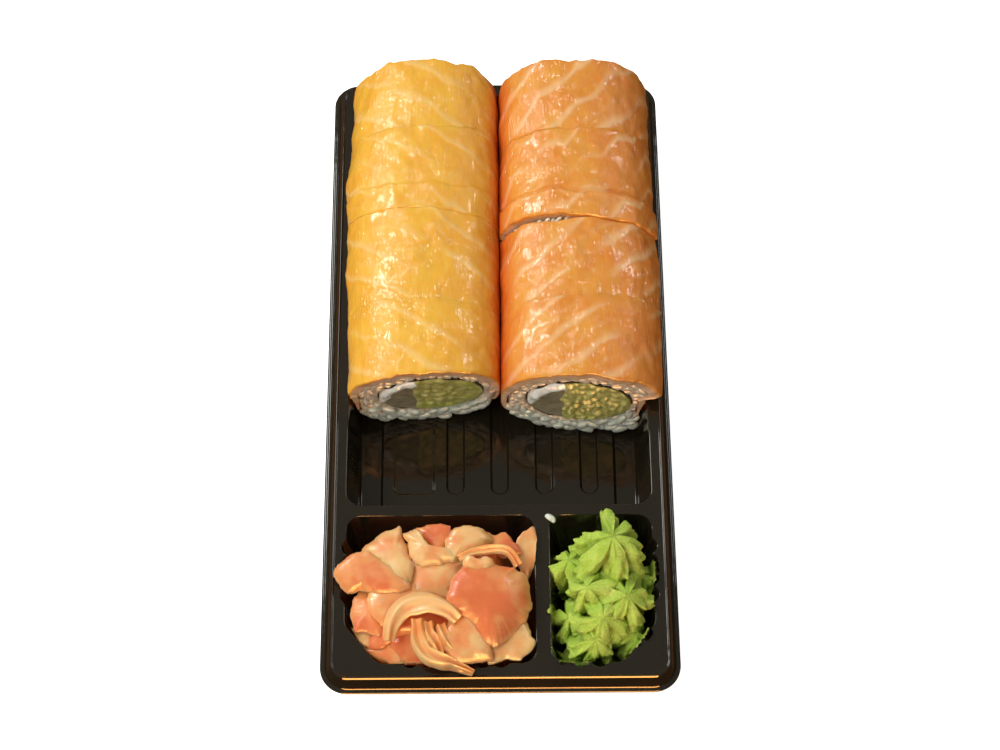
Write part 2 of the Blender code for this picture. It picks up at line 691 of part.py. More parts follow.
def grid_border(grid):
    """The vertices round the border of a grid."""
    right = [row[-1] for row in grid[1:]]
    left = [row[0] for row in grid[-2:0:-1]]
    return grid[0] + right + grid[-1][-2::-1] + left


def closed_sheet(rows_top, rows_under):
    """A closed bmesh from two grids of points, one above the other."""
    data = bmesh.new()
    top = [[data.verts.new(point) for point in row] for row in rows_top]
    under = [[data.verts.new(point) for point in row] for row in rows_under]
    for grid, flip in ((top, False), (under, True)):
        for row_a, row_b in zip(grid, grid[1:]):
            for i in range(len(row_a) - 1):
                corners = [row_a[i], row_a[i + 1], row_b[i + 1], row_b[i]]
                faces = (corners[:3], [corners[0], corners[2], corners[3]])
                for face in faces:
                    data.faces.new(list(reversed(face)) if flip else face)
    bridge(data, grid_border(under), grid_border(top))
    face_outwards(data)
    return data


def lift_over_tray(pockets, point, clearance):
    """Raise a point that would lie in or too close to the tray."""
    least = tray_height(pockets, point.x, point.y) + clearance
    return Vector((point.x, point.y, max(point.z, least)))


def ginger_slice(pockets, size):
    """A thin bent slice with an uneven round outline."""
    centre, halves, turns, bend, cup, wave = size
    turn = Euler([math.radians(angle) for angle in turns]).to_matrix()
    grids = ([], [])
    for j in range(SLICE_ROWS + 1):
        rows = ([], [])
        for i in range(SLICE_COLS + 1):
            u, v = 2 * i / SLICE_COLS - 1, 2 * j / SLICE_ROWS - 1
            disc_u = u * math.sqrt(1 - v * v / 2)
            disc_v = v * math.sqrt(1 - u * u / 2)
            seed = Vector((centre[0] + 3 * u, centre[1] + 3 * v, 0)) * GINGER_ROUGH_SCALE
            rough = 1 + GINGER_ROUGHNESS * noise.noise(seed)
            x, y = disc_u * halves[0] * rough, disc_v * halves[1] * rough
            z = bend * (1 - u * u) + cup * (1 - v * v) + wave * math.sin(3 * u + 2 * v)
            for rows_out, side in zip(rows, (0.5, -0.5)):
                local = Vector((x, y, z + side * GINGER_SLICE_THICK))
                clearance = GINGER_CLEARANCE + side
                rows_out.append(lift_over_tray(pockets, turn @ local + Vector(centre), clearance))
        grids[0].append(rows[0])
        grids[1].append(rows[1])
    return closed_sheet(*grids)


def ginger_strip(pockets):
    """The long folded strip that hangs over the front rim."""
    points = [Vector(p) for p in GINGER_STRIP]
    grids = ([], [])
    steps = GINGER_STRIP_STEPS
    for j in range(steps + 1):
        share = j / steps * (len(points) - 1)
        k = min(int(share), len(points) - 2)
        middle = points[k].lerp(points[k + 1], share - k)
        along = (points[k + 1] - points[k]).normalized()
        side = along.cross(Vector((0, 0, 1))).normalized()
        half = GINGER_STRIP_HALF * (1 - GINGER_STRIP_TAPER * j / steps)
        rows = ([], [])
        for i in range(3):
            across = i - 1
            fold = GINGER_STRIP_FOLD * (1 - abs(across))
            base = middle + side * across * half + Vector((0, 0, fold))
            for rows_out, push in zip(rows, (0.5, -0.5)):
                point = base + Vector((0, 0, push * GINGER_SLICE_THICK))
                rows_out.append(lift_over_tray(pockets, point, GINGER_STRIP_CLEARANCE + push))
        grids[0].append(rows[0])
        grids[1].append(rows[1])
    return closed_sheet(*grids)


def pocket_mound(pockets, name, top):
    """A low lumpy mound that fills a pocket, a gap clear of its walls and floor."""
    data = bmesh.new()
    pocket = pockets[name]
    steps_round = MOUND_STEPS[name]
    corners = pocket["corners"]
    middle = sum(corners, Vector((0, 0))) / len(corners)

    def edge_point(degrees, inset):
        way = Vector((math.cos(math.radians(degrees)), math.sin(math.radians(degrees))))
        low, high = 0.0, POCKET_REACH
        for _ in range(EDGE_HALVINGS):
            reach = (low + high) / 2
            if inside_distance(pocket, *(middle + way * reach)) > inset:
                low = reach
            else:
                high = reach
        return middle + way * low

    base_z = FLOOR_Z + GAP
    wall_inset = WALL_PROFILE[-1][0] + GAP
    angles = [360 * i / steps_round for i in range(steps_round)]
    loops = []
    for share, z_share in MOUND_PROFILE:
        loop = []
        for degrees in angles:
            rim = edge_point(degrees, wall_inset)
            spot = middle + (rim - middle) * share
            seed = Vector((spot.x, spot.y, MOUND_SEED[name])) * MOUND_LUMP_SCALE
            bump = MOUND_LUMP * noise.noise(seed)
            loop.append(data.verts.new((spot.x, spot.y, base_z + (top - base_z) * z_share + bump * z_share)))
        loops.append(loop)
    for loop_a, loop_b in zip(loops, loops[1:]):
        bridge(data, loop_a, loop_b)
    data.faces.new(list(reversed(loops[0])))
    peak = data.verts.new((middle.x, middle.y, top))
    for i in range(steps_round):
        data.faces.new((loops[-1][i], loops[-1][(i + 1) % steps_round], peak))
    face_outwards(data)
    return data


def piped_star(pockets, size):
    """A piped star: a finned cone from its foot to its tip."""
    foot, tip, radius, tip_radius, fins, twist = size
    data = bmesh.new()
    foot, tip = Vector(foot), Vector(tip)
    axis = (tip - foot).normalized()
    side = axis.cross(Vector((0, 1, 0))).normalized()
    other = axis.cross(side)
    loops = []
    for share, swell in STAR_PROFILE:
        ring_radius = tip_radius + (radius - tip_radius) * swell
        loop = []
        for i in range(2 * fins):
            degrees = 180 * i / fins + twist * (1 + share)
            deep = 1.0 if i % 2 == 0 else 1 - WASABI_FIN_DEPTH
            reach = ring_radius * deep
            ray = side * math.cos(math.radians(degrees)) + other * math.sin(math.radians(degrees))
            droop = WASABI_FIN_DROOP * reach if i % 2 == 0 else 0.0
            spot = foot.lerp(tip, share) + ray * reach - axis * droop
            loop.append(data.verts.new(lift_over_tray(pockets, spot, WASABI_CLEARANCE)))
        loops.append(loop)
    for loop_a, loop_b in zip(loops, loops[1:]):
        bridge(data, loop_a, loop_b)
    data.faces.new(list(reversed(loops[0])))
    crown = data.verts.new(tip + axis * WASABI_CROWN)
    for i in range(2 * fins):
        data.faces.new((loops[-1][i], loops[-1][(i + 1) % (2 * fins)], crown))
    face_outwards(data)
    return data


def fuse(name, pieces, material, smooth_angle):
    """Join closed pieces into one body by one Boolean union on a collection, without scraps or hollows."""
    group = bpy.data.collections.new(name + "_pieces")
    bpy.context.scene.collection.children.link(group)
    base = None
    for i, data in enumerate(pieces):
        mesh = bpy.data.meshes.new(f"{name}_piece_{i}")
        bmesh.ops.triangulate(data, faces=data.faces[:])
        data.to_mesh(mesh)
        data.free()
        obj = bpy.data.objects.new(mesh.name, mesh)
        if base is None:
            base = obj
            bpy.context.scene.collection.objects.link(obj)
        else:
            group.objects.link(obj)
    union = base.modifiers.new("union", "BOOLEAN")
    union.operation = "UNION"
    union.operand_type = "COLLECTION"
    union.collection = group
    union.solver = "MANIFOLD"
    bpy.context.view_layer.update()
    evaluated = base.evaluated_get(bpy.context.evaluated_depsgraph_get())
    data = bmesh.new()
    data.from_mesh(evaluated.to_mesh())
    evaluated.to_mesh_clear()
    for obj in [base, *group.objects]:
        bpy.data.objects.remove(obj, do_unlink=True)
    bpy.data.collections.remove(group)
    keep_largest(data)
    bmesh.ops.dissolve_degenerate(data, edges=data.edges[:], dist=SLIVER)
    return add_object(name, data, material, smooth_angle)


def keep_largest(data):
    """Keep the largest connected body of a mesh."""
    unseen = set(data.verts)
    bodies = []
    while unseen:
        body, front = set(), [unseen.pop()]
        while front:
            vert = front.pop()
            body.add(vert)
            for edge in vert.link_edges:
                other = edge.other_vert(vert)
                if other in unseen:
                    unseen.remove(other)
                    front.append(other)
        bodies.append(body)
    bodies.sort(key=len, reverse=True)
    scraps = [vert for body in bodies[1:] for vert in body]
    bmesh.ops.delete(data, geom=scraps, context="VERTS")


def make_ginger(pockets, material):
    """The heap of pickled ginger."""
    pieces = [pocket_mound(pockets, "ginger", GINGER_CORE_TOP)]
    pieces += [ginger_slice(pockets, size) for size in GINGER_SLICES.values()]
    pieces.append(ginger_strip(pockets))
    return fuse("ginger", pieces, material, 50.0)


def make_wasabi(pockets, material):
    """The piped wasabi."""
    pieces = [pocket_mound(pockets, "wasabi", WASABI_BED_TOP)]
    pieces += [piped_star(pockets, size) for size in WASABI_STARS.values()]
    return fuse("wasabi", pieces, material, 40.0)


def make_stray_grain(material):
    """The grain of rice that lies on the bridge between the pockets."""
    data = bmesh.new()
    bmesh.ops.create_uvsphere(data, u_segments=6, v_segments=4, radius=1.0)
    for vert in data.verts:
        x, y, z = vert.co.x * GRAIN_WIDTH / 2, vert.co.y * GRAIN_WIDTH / 2, vert.co.z * GRAIN_LENGTH / 2
        vert.co = (z, x, y)
    bmesh.ops.rotate(data, verts=data.verts[:], matrix=Euler((0, 0, math.radians(GRAIN_TURN))).to_matrix())
    rise = FLANGE_Z + GAP / 3 + GRAIN_WIDTH / 2
    bmesh.ops.translate(data, verts=data.verts[:], vec=(*STRAY_GRAIN, rise))
    return add_object("stray_rice", data, material, 60.0)


def main():
    clear_scene()
    materials = {name: make_material(name) for name in COLOURS}
    pockets = make_pockets()
    make_tray(pockets, materials["tray"])
    make_rolls(materials)
    make_ginger(pockets, materials["ginger"])
    make_wasabi(pockets, materials["wasabi"])
    make_stray_grain(materials["rice"])


main()
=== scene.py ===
"""Looks of the takeaway sushi tray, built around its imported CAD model.

Shapes are worked out in millimetres, in the CAD's own frame, and written in metres.
"""
import itertools
import math
import random

import bmesh
import bpy
import numpy as np
from mathutils import Matrix, Vector, geometry


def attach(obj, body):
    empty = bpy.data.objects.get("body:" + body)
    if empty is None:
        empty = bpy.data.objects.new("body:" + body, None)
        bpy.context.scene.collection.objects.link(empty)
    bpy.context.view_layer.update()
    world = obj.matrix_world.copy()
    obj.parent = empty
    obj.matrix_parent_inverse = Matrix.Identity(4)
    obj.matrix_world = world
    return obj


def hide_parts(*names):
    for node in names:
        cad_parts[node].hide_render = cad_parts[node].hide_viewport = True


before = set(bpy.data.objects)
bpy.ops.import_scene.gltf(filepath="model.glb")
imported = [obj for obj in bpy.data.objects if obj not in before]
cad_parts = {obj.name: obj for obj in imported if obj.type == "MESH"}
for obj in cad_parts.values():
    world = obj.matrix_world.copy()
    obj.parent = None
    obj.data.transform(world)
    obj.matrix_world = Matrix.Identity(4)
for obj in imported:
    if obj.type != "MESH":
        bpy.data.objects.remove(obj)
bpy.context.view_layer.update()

MM = 0.001
GAP = 0.3

# Tray: the CAD's sizes, but the pocket wall is rounded where the CAD has facets
SHEET = 0.45
LIP_LENGTH = 197.8
LIP_WIDTH = 96.0
LIP_CORNER = 7.6
FLANGE_Z = 18.4
RIDGE_Z = 18.8
FLOOR_Z = SHEET
PANEL_Z = 1.25
RIM_PROFILE = ((0.0, 15.0), (1.1, 15.0), (2.6, 18.25), (3.0, RIDGE_Z), (3.5, FLANGE_Z), (3.9, FLANGE_Z))
WALL_PROFILE = ((-0.5, FLANGE_Z), (0.22, FLANGE_Z), (3.2, FLOOR_Z), (4.3, FLOOR_Z))
CAD_WALL_HEIGHTS = (FLOOR_Z, 1.7, 17.9, FLANGE_Z)
CAD_WALL_INSETS = (4.3, 3.1, 0.5, 0.0)
TOP_ROUND = 0.7
FOOT_ROUND = 1.3
RIM_ROUND = 0.5
STEP_ROUND = 0.22
STEP_FLAT = 0.35
MAIN_HALF_WIDTH = 42.0
MAIN_FRONT = -45.0
MAIN_BACK = 92.9
MAIN_CORNER = 4.5
SMALL_HALF_WIDTH = 41.7
SMALL_BACK = -47.8
SMALL_FRONT = -92.0
GINGER_RIGHT = 9.7
WASABI_LEFT = 13.5
SMALL_CORNER = 4.0
CHAMFER_X = 9.0
CHAMFER_Y = 11.5
CHAMFER_ROUND = 5.0
SCALLOP_PITCH = 4.83
SCALLOP_DEPTH = 1.3
SIDE_SCALLOPS = 4
SIDE_SCALLOP_START = -55.0
GINGER_FRONT_SCALLOPS = 6
GINGER_FRONT_SCALLOP_START = -26.4
WASABI_FRONT_SCALLOPS = 2
WASABI_FRONT_SCALLOP_START = 19.2
BAR_TOPS = (-23.4, -18.4, 66.3, 71.3)
BAR_WIDTH = 2.2
BAR_DEPTH = 0.8
BAR_LEAN = 4.6
PANEL_HALF_WIDTH = 33.1
PANEL_END_MARGIN = 1.2
PANEL_CORNER = 2.5
PANEL_STEP = 0.6
RIB_X = (-12.1, 0.35, 12.95, 25.55)
RIB_WIDTH = 5.3
RIB_FRONT = -32.7
RIB_BACK = 78.0
LABEL_X = (-29.6, -17.9)
LABEL_CORNER = 1.8
LABEL_SINK = 0.35

# Rolls: the CAD's sizes, but the seam between the rolls is narrower
SEAM_X = 0.8
SEAM_GAP = 0.1
ROLL_BOTTOM = PANEL_Z + GAP
ROLL_ROUNDNESS = 2.35
ROLL_OUTER = {"left": (-42.0, -43.2, -43.6, -41.8), "right": (46.6, 47.2, 45.4, 45.2)}
ROLL_TOP = {"left": (32.4, 32.9, 33.6, 34.2), "right": (33.0, 33.6, 33.9, 34.4)}
ROLL_CUTS = {
    "left": ((-9.4, -1.6, -1.6), (13.3, 0.4, -0.3), (42.9, 0.6, -0.2), (70.8, -0.5, 0.2), (90.8, 0.0, 3.9)),
    "right": ((-12.2, -1.6, -0.2), (13.3, 0.5, 0.2), (38.4, -0.6, 0.6), (69.5, 0.4, 0.2), (90.7, 0.0, 4.0)),
}
BULGE_START = 2.0
BULGE_HEIGHT = 5.5
BULGE_REACH = 6.5
SALMON_THICK = 2.8
SALMON_LOW_ANGLE = 24.0
STRIP_LENGTH = 8.3
STRIP_RISE = 0.55
STRIP_PIECE = 2
NORI_CENTRE = {"left": (-18.8, 17.0), "right": (22.7, 17.3)}
NORI_HALF = {"left": (15.0, 10.4), "right": (15.0, 10.75)}
NORI_THICK = 0.5
FILL_SPLIT = 107.0
CHEESE_END = 190.0
CHEESE_THICK = 2.6

# Each cut's gap, groove depth and groove width at the salmon's outer face, from the front to the back
CUT_LOOKS = {
    "left": ((0.0, 0.6, 1.2), (-0.1, 0.12, 0.8), (-0.1, 0.24, 1.0), (-0.1, 0.2, 1.1), (0.0, 0.6, 1.3)),
    "right": ((0.0, 0.6, 1.2), (-0.1, 0.12, 0.8), (1.7, 0.45, 0.9), (0.0, 0.4, 1.0), (0.0, 0.6, 1.3)),
}
FAT_LINES = {"right": (0.78, 11.5, 1.0, 0.95), "left": (-0.56, 10.4, 0.85, 0.6)}
FAT_ZIGZAG = {"right": (0.8, 1.0, 4.0, 1.6), "left": (0.8, 0.8, 1.2, 1.0)}
FINE = 0.45
CUT_FACE_SHARES = (1.0, 0.8, 0.6, 0.42, 0.28)
RICE_BLENDS = (1.0, 0.94, 0.86, 0.77, 0.68, 0.59, 0.5, 0.41, 0.32, 0.23, 0.14, 0.06, 0.0)

# Grains of rice: ranges of their sizes, places tried on a cut end, least distance between two
GRAIN_LENGTH = (3.7, 5.4)
GRAIN_WIDTH = (2.1, 2.8)
GRAIN_HEIGHT = (1.6, 2.1)
GRAIN_TRIES = 1500
GRAIN_SPACING = 2.1


def smooth_noise(points, size, seed):
    """Smooth noise between -1 and 1 at points, with features about size wide."""
    points = np.asarray(points, float)
    if points.shape[-1] == 2:
        points = np.concatenate([points, np.zeros(points.shape[:-1] + (1,))], axis=-1)
    scaled = points / size + seed * 17.31
    cell = np.floor(scaled).astype(np.int64)
    part = scaled - cell
    part = part * part * (3 - 2 * part)
    total = np.zeros(points.shape[:-1])
    for corner in itertools.product((0, 1), repeat=3):
        spot = cell + np.array(corner)
        code = spot[..., 0] * 73856093 ^ spot[..., 1] * 19349663 ^ spot[..., 2] * 83492791
        code = (code ^ (code >> 13)) * 1274126177 & 0x7FFFFFFF
        code = (code ^ (code >> 15)) * 2246822519 & 0x7FFFFFFF
        weight = np.prod(np.where(np.array(corner) == 1, part, 1 - part), axis=-1)
        total += weight * ((code >> 7) % 65536 / 32767.5 - 1)
    return total


def layered_noise(points, size, seed, layers=3):
    """Noise with finer and weaker layers added."""
    total = sum(smooth_noise(points, size / 2 ** i, seed + i) / 2 ** i for i in range(layers))
    return total / sum(0.5 ** i for i in range(layers))


def ramp(value, low, high):
    """Smooth step from 0 at low to 1 at high."""
    share = np.clip((value - low) / (high - low), 0, 1)
    return share * share * (3 - 2 * share)


def cell_noise(points, size, seed):
    """Distance to the nearest and to the second nearest of scattered points, in cell sizes."""
    points = np.asarray(points, float)
    scaled = points / size
    cell = np.floor(scaled).astype(np.int64)
    nearest = np.full(points.shape[:-1], 9.0)
    second = np.full(points.shape[:-1], 9.0)
    for corner in itertools.product((-1, 0, 1), repeat=points.shape[-1]):
        spot = cell + np.array(corner)
        jitter = np.stack([0.5 + 0.5 * smooth_noise(np.concatenate(
            [spot * 7.7 + axis * 3.1, np.zeros(spot.shape[:-1] + (3 - spot.shape[-1],))], axis=-1),
            1.0, seed + axis) for axis in range(points.shape[-1])], axis=-1)
        away = np.linalg.norm(scaled - spot - jitter, axis=-1)
        second = np.minimum(second, np.maximum(nearest, away))
        nearest = np.minimum(nearest, away)
    return nearest, second


def grid_faces(rows, cols, start=0, wrap=False):
    """Quads of a grid of vertices, row after row."""
    i, j = np.meshgrid(np.arange(rows - 1), np.arange(cols if wrap else cols - 1), indexing="ij")
    next_j = (j + 1) % cols
    corners = (i * cols + j, i * cols + next_j, (i + 1) * cols + next_j, (i + 1) * cols + j)
    return (np.stack([corner.ravel() for corner in corners], axis=1) + start).tolist()


def capped_tube(rows, cols):
    """Faces of a tube of rows of vertices, closed at both ends."""
    faces = grid_faces(rows, cols, 0, True)
    faces.append(list(range(cols))[::-1])
    faces.append([(rows - 1) * cols + j for j in range(cols)])
    return faces


def closed_ring(rows):
    """Points and faces of rows of points round a ring, whose last row meets the first."""
    count = len(rows[0])
    last = (len(rows) - 1) * count
    faces = grid_faces(len(rows), count, 0, True)
    faces += [(last + j, last + (j + 1) % count, (j + 1) % count, j) for j in range(count)]
    return np.concatenate(rows), faces


def grid_border(rows, cols):
    """Vertices round the border of a grid, in order."""
    border = list(range(cols)) + [i * cols + cols - 1 for i in range(1, rows)]
    border += [(rows - 1) * cols + j for j in range(cols - 2, -1, -1)]
    return border + [i * cols for i in range(rows - 2, 0, -1)]


def join_parts(parts):
    """Points, faces and lists of per-point values of parts that each have their own."""
    faces, start = [], 0
    for part in parts:
        faces += [[i + start for i in face] for face in part[1]]
        start += len(part[0])
    values = [np.concatenate(rows) for rows in zip(*(part[2:] for part in parts))]
    return np.concatenate([part[0] for part in parts]), faces, values


def noise_pair(points, size, first_seed, second_seed):
    """Two noises at points, as a shift along two axes."""
    return np.stack([smooth_noise(points, size, seed) for seed in (first_seed, second_seed)], axis=-1)


def add_piece(name, points, faces, material, nodes=(), values=None, smooth_angle=None):
    """A mesh piece from points in millimetres, riding on the tray's body, with per-point values."""
    mesh = bpy.data.meshes.new(name)
    mesh.from_pydata((np.asarray(points) * MM).tolist(), [], faces)
    for key, data in (values or {}).items():
        data = np.asarray(data, float)
        if data.ndim == 1:
            attribute = mesh.attributes.new(key, "FLOAT", "POINT")
            attribute.data.foreach_set("value", data)
        else:
            attribute = mesh.attributes.new(key, "FLOAT_VECTOR", "POINT")
            attribute.data.foreach_set("vector", data.ravel())
    mesh.validate()
    tidy = bmesh.new()
    tidy.from_mesh(mesh)
    bmesh.ops.recalc_face_normals(tidy, faces=tidy.faces[:])
    tidy.to_mesh(mesh)
    tidy.free()
    mesh.shade_smooth()
    if smooth_angle:
        mesh.set_sharp_from_angle(angle=math.radians(smooth_angle))
    mesh.materials.append(material)
    obj = bpy.data.objects.new(name, mesh)
    bpy.context.scene.collection.objects.link(obj)
    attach(obj, "root")
    if nodes:
        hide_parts(*nodes)
    return obj


class Graph:
    """Short way to write a material's nodes."""

    def __init__(self, name):
        self.material = bpy.data.materials.new(name)
        self.material.use_nodes = True
        self.nodes = self.material.node_tree.nodes
        self.links = self.material.node_tree.links
        self.shader = self.nodes["Principled BSDF"]

    def node(self, kind, inputs=None, **settings):
        node = self.nodes.new(kind)
        for key, value in settings.items():
            setattr(node, key, value)
        for key, value in (inputs or {}).items():
            self.feed(node.inputs[key], value)
        return node

    def feed(self, socket, value):
        if isinstance(value, bpy.types.NodeSocket):
            self.links.new(value, socket)
        elif isinstance(value, (tuple, list)) and len(value) == 3 and socket.type == "RGBA":
            socket.default_value = (*value, 1.0)
        else:
            socket.default_value = value

    def attribute(self, name, output="Fac"):
        return self.node("ShaderNodeAttribute", attribute_name=name).outputs[output]

    def place(self):
        """Position on the model, in millimetres."""
        position = self.node("ShaderNodeTexCoord").outputs["Object"]
        return self.node("ShaderNodeVectorMath", {0: position, 3: 1 / MM}, operation="SCALE").outputs[0]

    def stretch(self, vector, scale, turn=(0, 0, 0)):
        return self.node("ShaderNodeMapping", {"Vector": vector, "Scale": scale, "Rotation": turn}).outputs[0]

    def noise(self, vector, scale, detail=3.0, roughness=0.55):
        inputs = {"Vector": vector, "Scale": scale, "Detail": detail, "Roughness": roughness}
        return self.node("ShaderNodeTexNoise", inputs).outputs["Fac"]

    def cells(self, vector, scale):
        return self.node("ShaderNodeTexVoronoi", {"Vector": vector, "Scale": scale}).outputs["Distance"]

    def steps(self, value, low, high, to_low=0.0, to_high=1.0):
        inputs = {"Value": value, "From Min": low, "From Max": high, "To Min": to_low, "To Max": to_high}
        return self.node("ShaderNodeMapRange", inputs, interpolation_type="SMOOTHSTEP").outputs[0]

    def math(self, operation, a, b=0.0):
        return self.node("ShaderNodeMath", {0: a, 1: b}, operation=operation).outputs[0]

    def blend(self, share, a, b):
        node = self.node("ShaderNodeMix", data_type="RGBA")
        self.feed(node.inputs["Factor"], share)
        self.feed(node.inputs[6], a)
        self.feed(node.inputs[7], b)
        return node.outputs[2]

    def bump(self, height, distance, strength=1.0, below=None):
        inputs = {"Height": height, "Distance": distance * MM, "Strength": strength}
        if below:
            inputs["Normal"] = below
        return self.node("ShaderNodeBump", inputs).outputs[0]

    def finish(self, **inputs):
        for key, value in inputs.items():
            self.feed(self.shader.inputs[key.replace("_", " ")], value)
        return self.material


def tray_material():
    """Gloss black plastic with faint waviness and a few specks of dust."""
    g = Graph("tray_gloss_black")
    place = g.place()
    wave = g.noise(place, 0.11, 2.0)
    haze = g.noise(place, 0.05, 3.0)
    dust = g.steps(g.cells(place, 0.55), 0.035, 0.02)
    colour = g.blend(haze, (0.0115, 0.0090, 0.0058), (0.0160, 0.0125, 0.0080))
    colour = g.blend(g.math("MULTIPLY", dust, 0.35), colour, (0.30, 0.31, 0.30))
    rough = g.steps(haze, 0.35, 0.75, 0.07, 0.13)
    return g.finish(Base_Color=colour, Roughness=rough, IOR=1.52, Normal=g.bump(wave, 0.25, 0.6))


def salmon_material(name, flesh, deep, fat, side):
    """Moist raw salmon: flesh with fibres, pale fat lines, a wet gloss and painted shade: deeper over the
    right-hand side and deep red on the side towards the seam between the rolls.
    """
    g = Graph(name)
    flat = g.attribute("flat_place", "Vector")
    patches = g.noise(flat, 0.13, 4.0)
    fibres = g.noise(g.stretch(flat, (1.7, 0.30, 1.0), (0, 0, side * 0.35)), 1.0, 4.0, 0.6)
    colour = g.blend(g.steps(patches, 0.3, 0.7, 0.15, 0.55), flesh, deep)
    # Painted shade: the flesh turns towards the deep colour over the roll's right-hand side, and a little on
    # its far left flank, where less light falls.
    colour = g.blend(g.math("MULTIPLY", g.attribute("warm"), 0.9), colour, deep)
    colour = g.blend(g.steps(fibres, 0.4, 0.75, 0.0, 0.22), colour, fat)
    colour = g.blend(g.math("MULTIPLY", g.attribute("fat"), 0.8), colour, fat)
    # Painted shade: deep red towards the seam, in the narrow gap between the two rolls.
    colour = g.blend(g.math("MULTIPLY", g.attribute("seam"), 0.9), colour, (0.60, 0.085, 0.004))
    cut = g.attribute("cut_face")
    colour = g.blend(g.steps(cut, 0.0, 0.4, 0.0, 0.7), colour, (0.80, 0.30, 0.05))
    colour = g.blend(g.steps(cut, 0.45, 0.75), colour, (0.80, 0.50, 0.32))
    streaks = g.noise(g.stretch(flat, (1.3, 0.34, 1.0), (0, 0, side * -0.12)), 1.0, 1.5, 0.4)
    clusters = g.steps(g.noise(flat, 0.14, 2.0), 0.40, 0.58, 0.15, 1.0)
    wet = g.bump(g.math("MULTIPLY", streaks, clusters), 0.9, 0.8)
    shine = g.steps(g.noise(flat, 0.35, 2.0), 0.3, 0.7, 0.05, 0.12)
    return g.finish(Base_Color=colour, Roughness=0.45, Specular_IOR_Level=0.25,
                    Normal=g.bump(fibres, 0.10, 0.4), Subsurface_Weight=0.22,
                    Subsurface_Radius=(1.0, 0.30, 0.08), Subsurface_Scale=0.0020,
                    Coat_Weight=0.55, Coat_Roughness=shine, Coat_Normal=wet)


def rice_material():
    """Cooked rice: pale, moist and slightly glassy, pinker where the attribute says it is under salmon."""
    g = Graph("rice_cooked")
    place = g.place()
    mottle = g.noise(place, 0.5, 3.0)
    colour = g.blend(g.steps(mottle, 0.3, 0.7), (0.54, 0.60, 0.53), (0.78, 0.81, 0.72))
    pinkish = g.blend(g.steps(mottle, 0.3, 0.7), (0.76, 0.52, 0.36), (0.88, 0.70, 0.54))
    colour = g.blend(g.attribute("pink"), colour, pinkish)
    normal = g.bump(g.noise(place, 1.6, 3.0), 0.15, 0.6)
    return g.finish(Base_Color=colour, Roughness=0.33, Normal=normal, Subsurface_Weight=0.35,
                    Subsurface_Radius=(1.0, 0.8, 0.6), Subsurface_Scale=0.0016)


def nori_material():
    """Dark crinkled seaweed."""
    g = Graph("nori_seaweed")
    place = g.place()
    crinkle = g.noise(place, 1.1, 5.0, 0.7)
    colour = g.blend(crinkle, (0.006, 0.008, 0.006), (0.030, 0.034, 0.020))
    return g.finish(Base_Color=colour, Roughness=0.42, Normal=g.bump(crinkle, 0.3, 0.8))


def cheese_material():
    """Soft white cream cheese."""
    g = Graph("cheese_soft")
    place = g.place()
    mottle = g.noise(place, 0.6, 3.0)
    colour = g.blend(g.steps(mottle, 0.25, 0.6), (0.80, 0.76, 0.66), (0.97, 0.96, 0.92))
    return g.finish(Base_Color=colour, Roughness=0.25, Normal=g.bump(mottle, 0.4, 0.5), Subsurface_Weight=0.3,
                    Subsurface_Radius=(1.0, 0.8, 0.6), Subsurface_Scale=0.0012)


def fish_material():
    """Grey-brown cooked fish with faint flakes."""
    g = Graph("fish_cooked")
    place = g.place()
    flakes = g.noise(g.stretch(place, (0.5, 0.5, 1.2)), 0.6, 4.0, 0.6)
    colour = g.blend(g.steps(flakes, 0.3, 0.7), (0.24, 0.20, 0.125), (0.40, 0.34, 0.225))
    return g.finish(Base_Color=colour, Roughness=0.3, Normal=g.bump(flakes, 0.25, 0.5),
                    Subsurface_Weight=0.15, Subsurface_Radius=(1.0, 0.6, 0.4), Subsurface_Scale=0.001)


def green_material():
    """Cut cucumber and avocado: yellow-green flesh, greener in places, with a painted highlight that makes the
    chunk tops paler than the gaps between them.
    """
    g = Graph("green_vegetable")
    place = g.place()
    chunks = g.cells(place, 0.42)
    mottle = g.noise(place, 0.45, 3.0)
    colour = g.blend(g.steps(mottle, 0.32, 0.68), (0.36, 0.35, 0.085), (0.60, 0.56, 0.20))
    colour = g.blend(g.attribute("fresh"), colour, (0.50, 0.62, 0.08))
    # Painted highlight: paler on the tops of the chunks, which stand out most.
    colour = g.blend(g.steps(g.attribute("crest"), 0.2, 0.9, 0.0, 0.3), colour, (0.74, 0.74, 0.32))
    return g.finish(Base_Color=colour, Roughness=0.4, Normal=g.bump(chunks, 0.3, 0.4), Subsurface_Weight=0.2,
                    Subsurface_Radius=(0.8, 1.0, 0.3), Subsurface_Scale=0.0012)


def ginger_material():
    """Pickled ginger: moist translucent slices between cream and pink, with fine fibres and a painted highlight
    that makes their rims paler.
    """
    g = Graph("ginger_pickled")
    place = g.place()
    tone = g.attribute("tone")
    rim = g.attribute("rim")
    mottle = g.noise(place, 0.15, 3.0)
    shade = g.math("ADD", tone, g.steps(mottle, 0.2, 0.8, -0.28, 0.28))
    colour = g.blend(g.steps(shade, 0.0, 0.5), (0.92, 0.55, 0.24), (0.88, 0.34, 0.12))
    colour = g.blend(g.steps(shade, 0.5, 1.0), colour, (0.78, 0.185, 0.06))
    # Painted highlight: paler along the slices' rims.
    colour = g.blend(g.math("MULTIPLY", rim, 0.4), colour, (0.95, 0.60, 0.33))
    fibres = g.noise(g.stretch(g.attribute("flat_place", "Vector"), (0.25, 1.3, 1.0)), 1.0, 3.0)
    normal = g.bump(fibres, 0.16, 0.6)
    normal = g.bump(g.noise(place, 0.35, 2.0), 0.2, 0.5, normal)
    return g.finish(Base_Color=colour, Roughness=0.36, Normal=normal, Subsurface_Weight=0.4,
                    Subsurface_Radius=(1.0, 0.36, 0.12), Subsurface_Scale=0.0022, Coat_Weight=0.15,
                    Coat_Roughness=0.12)


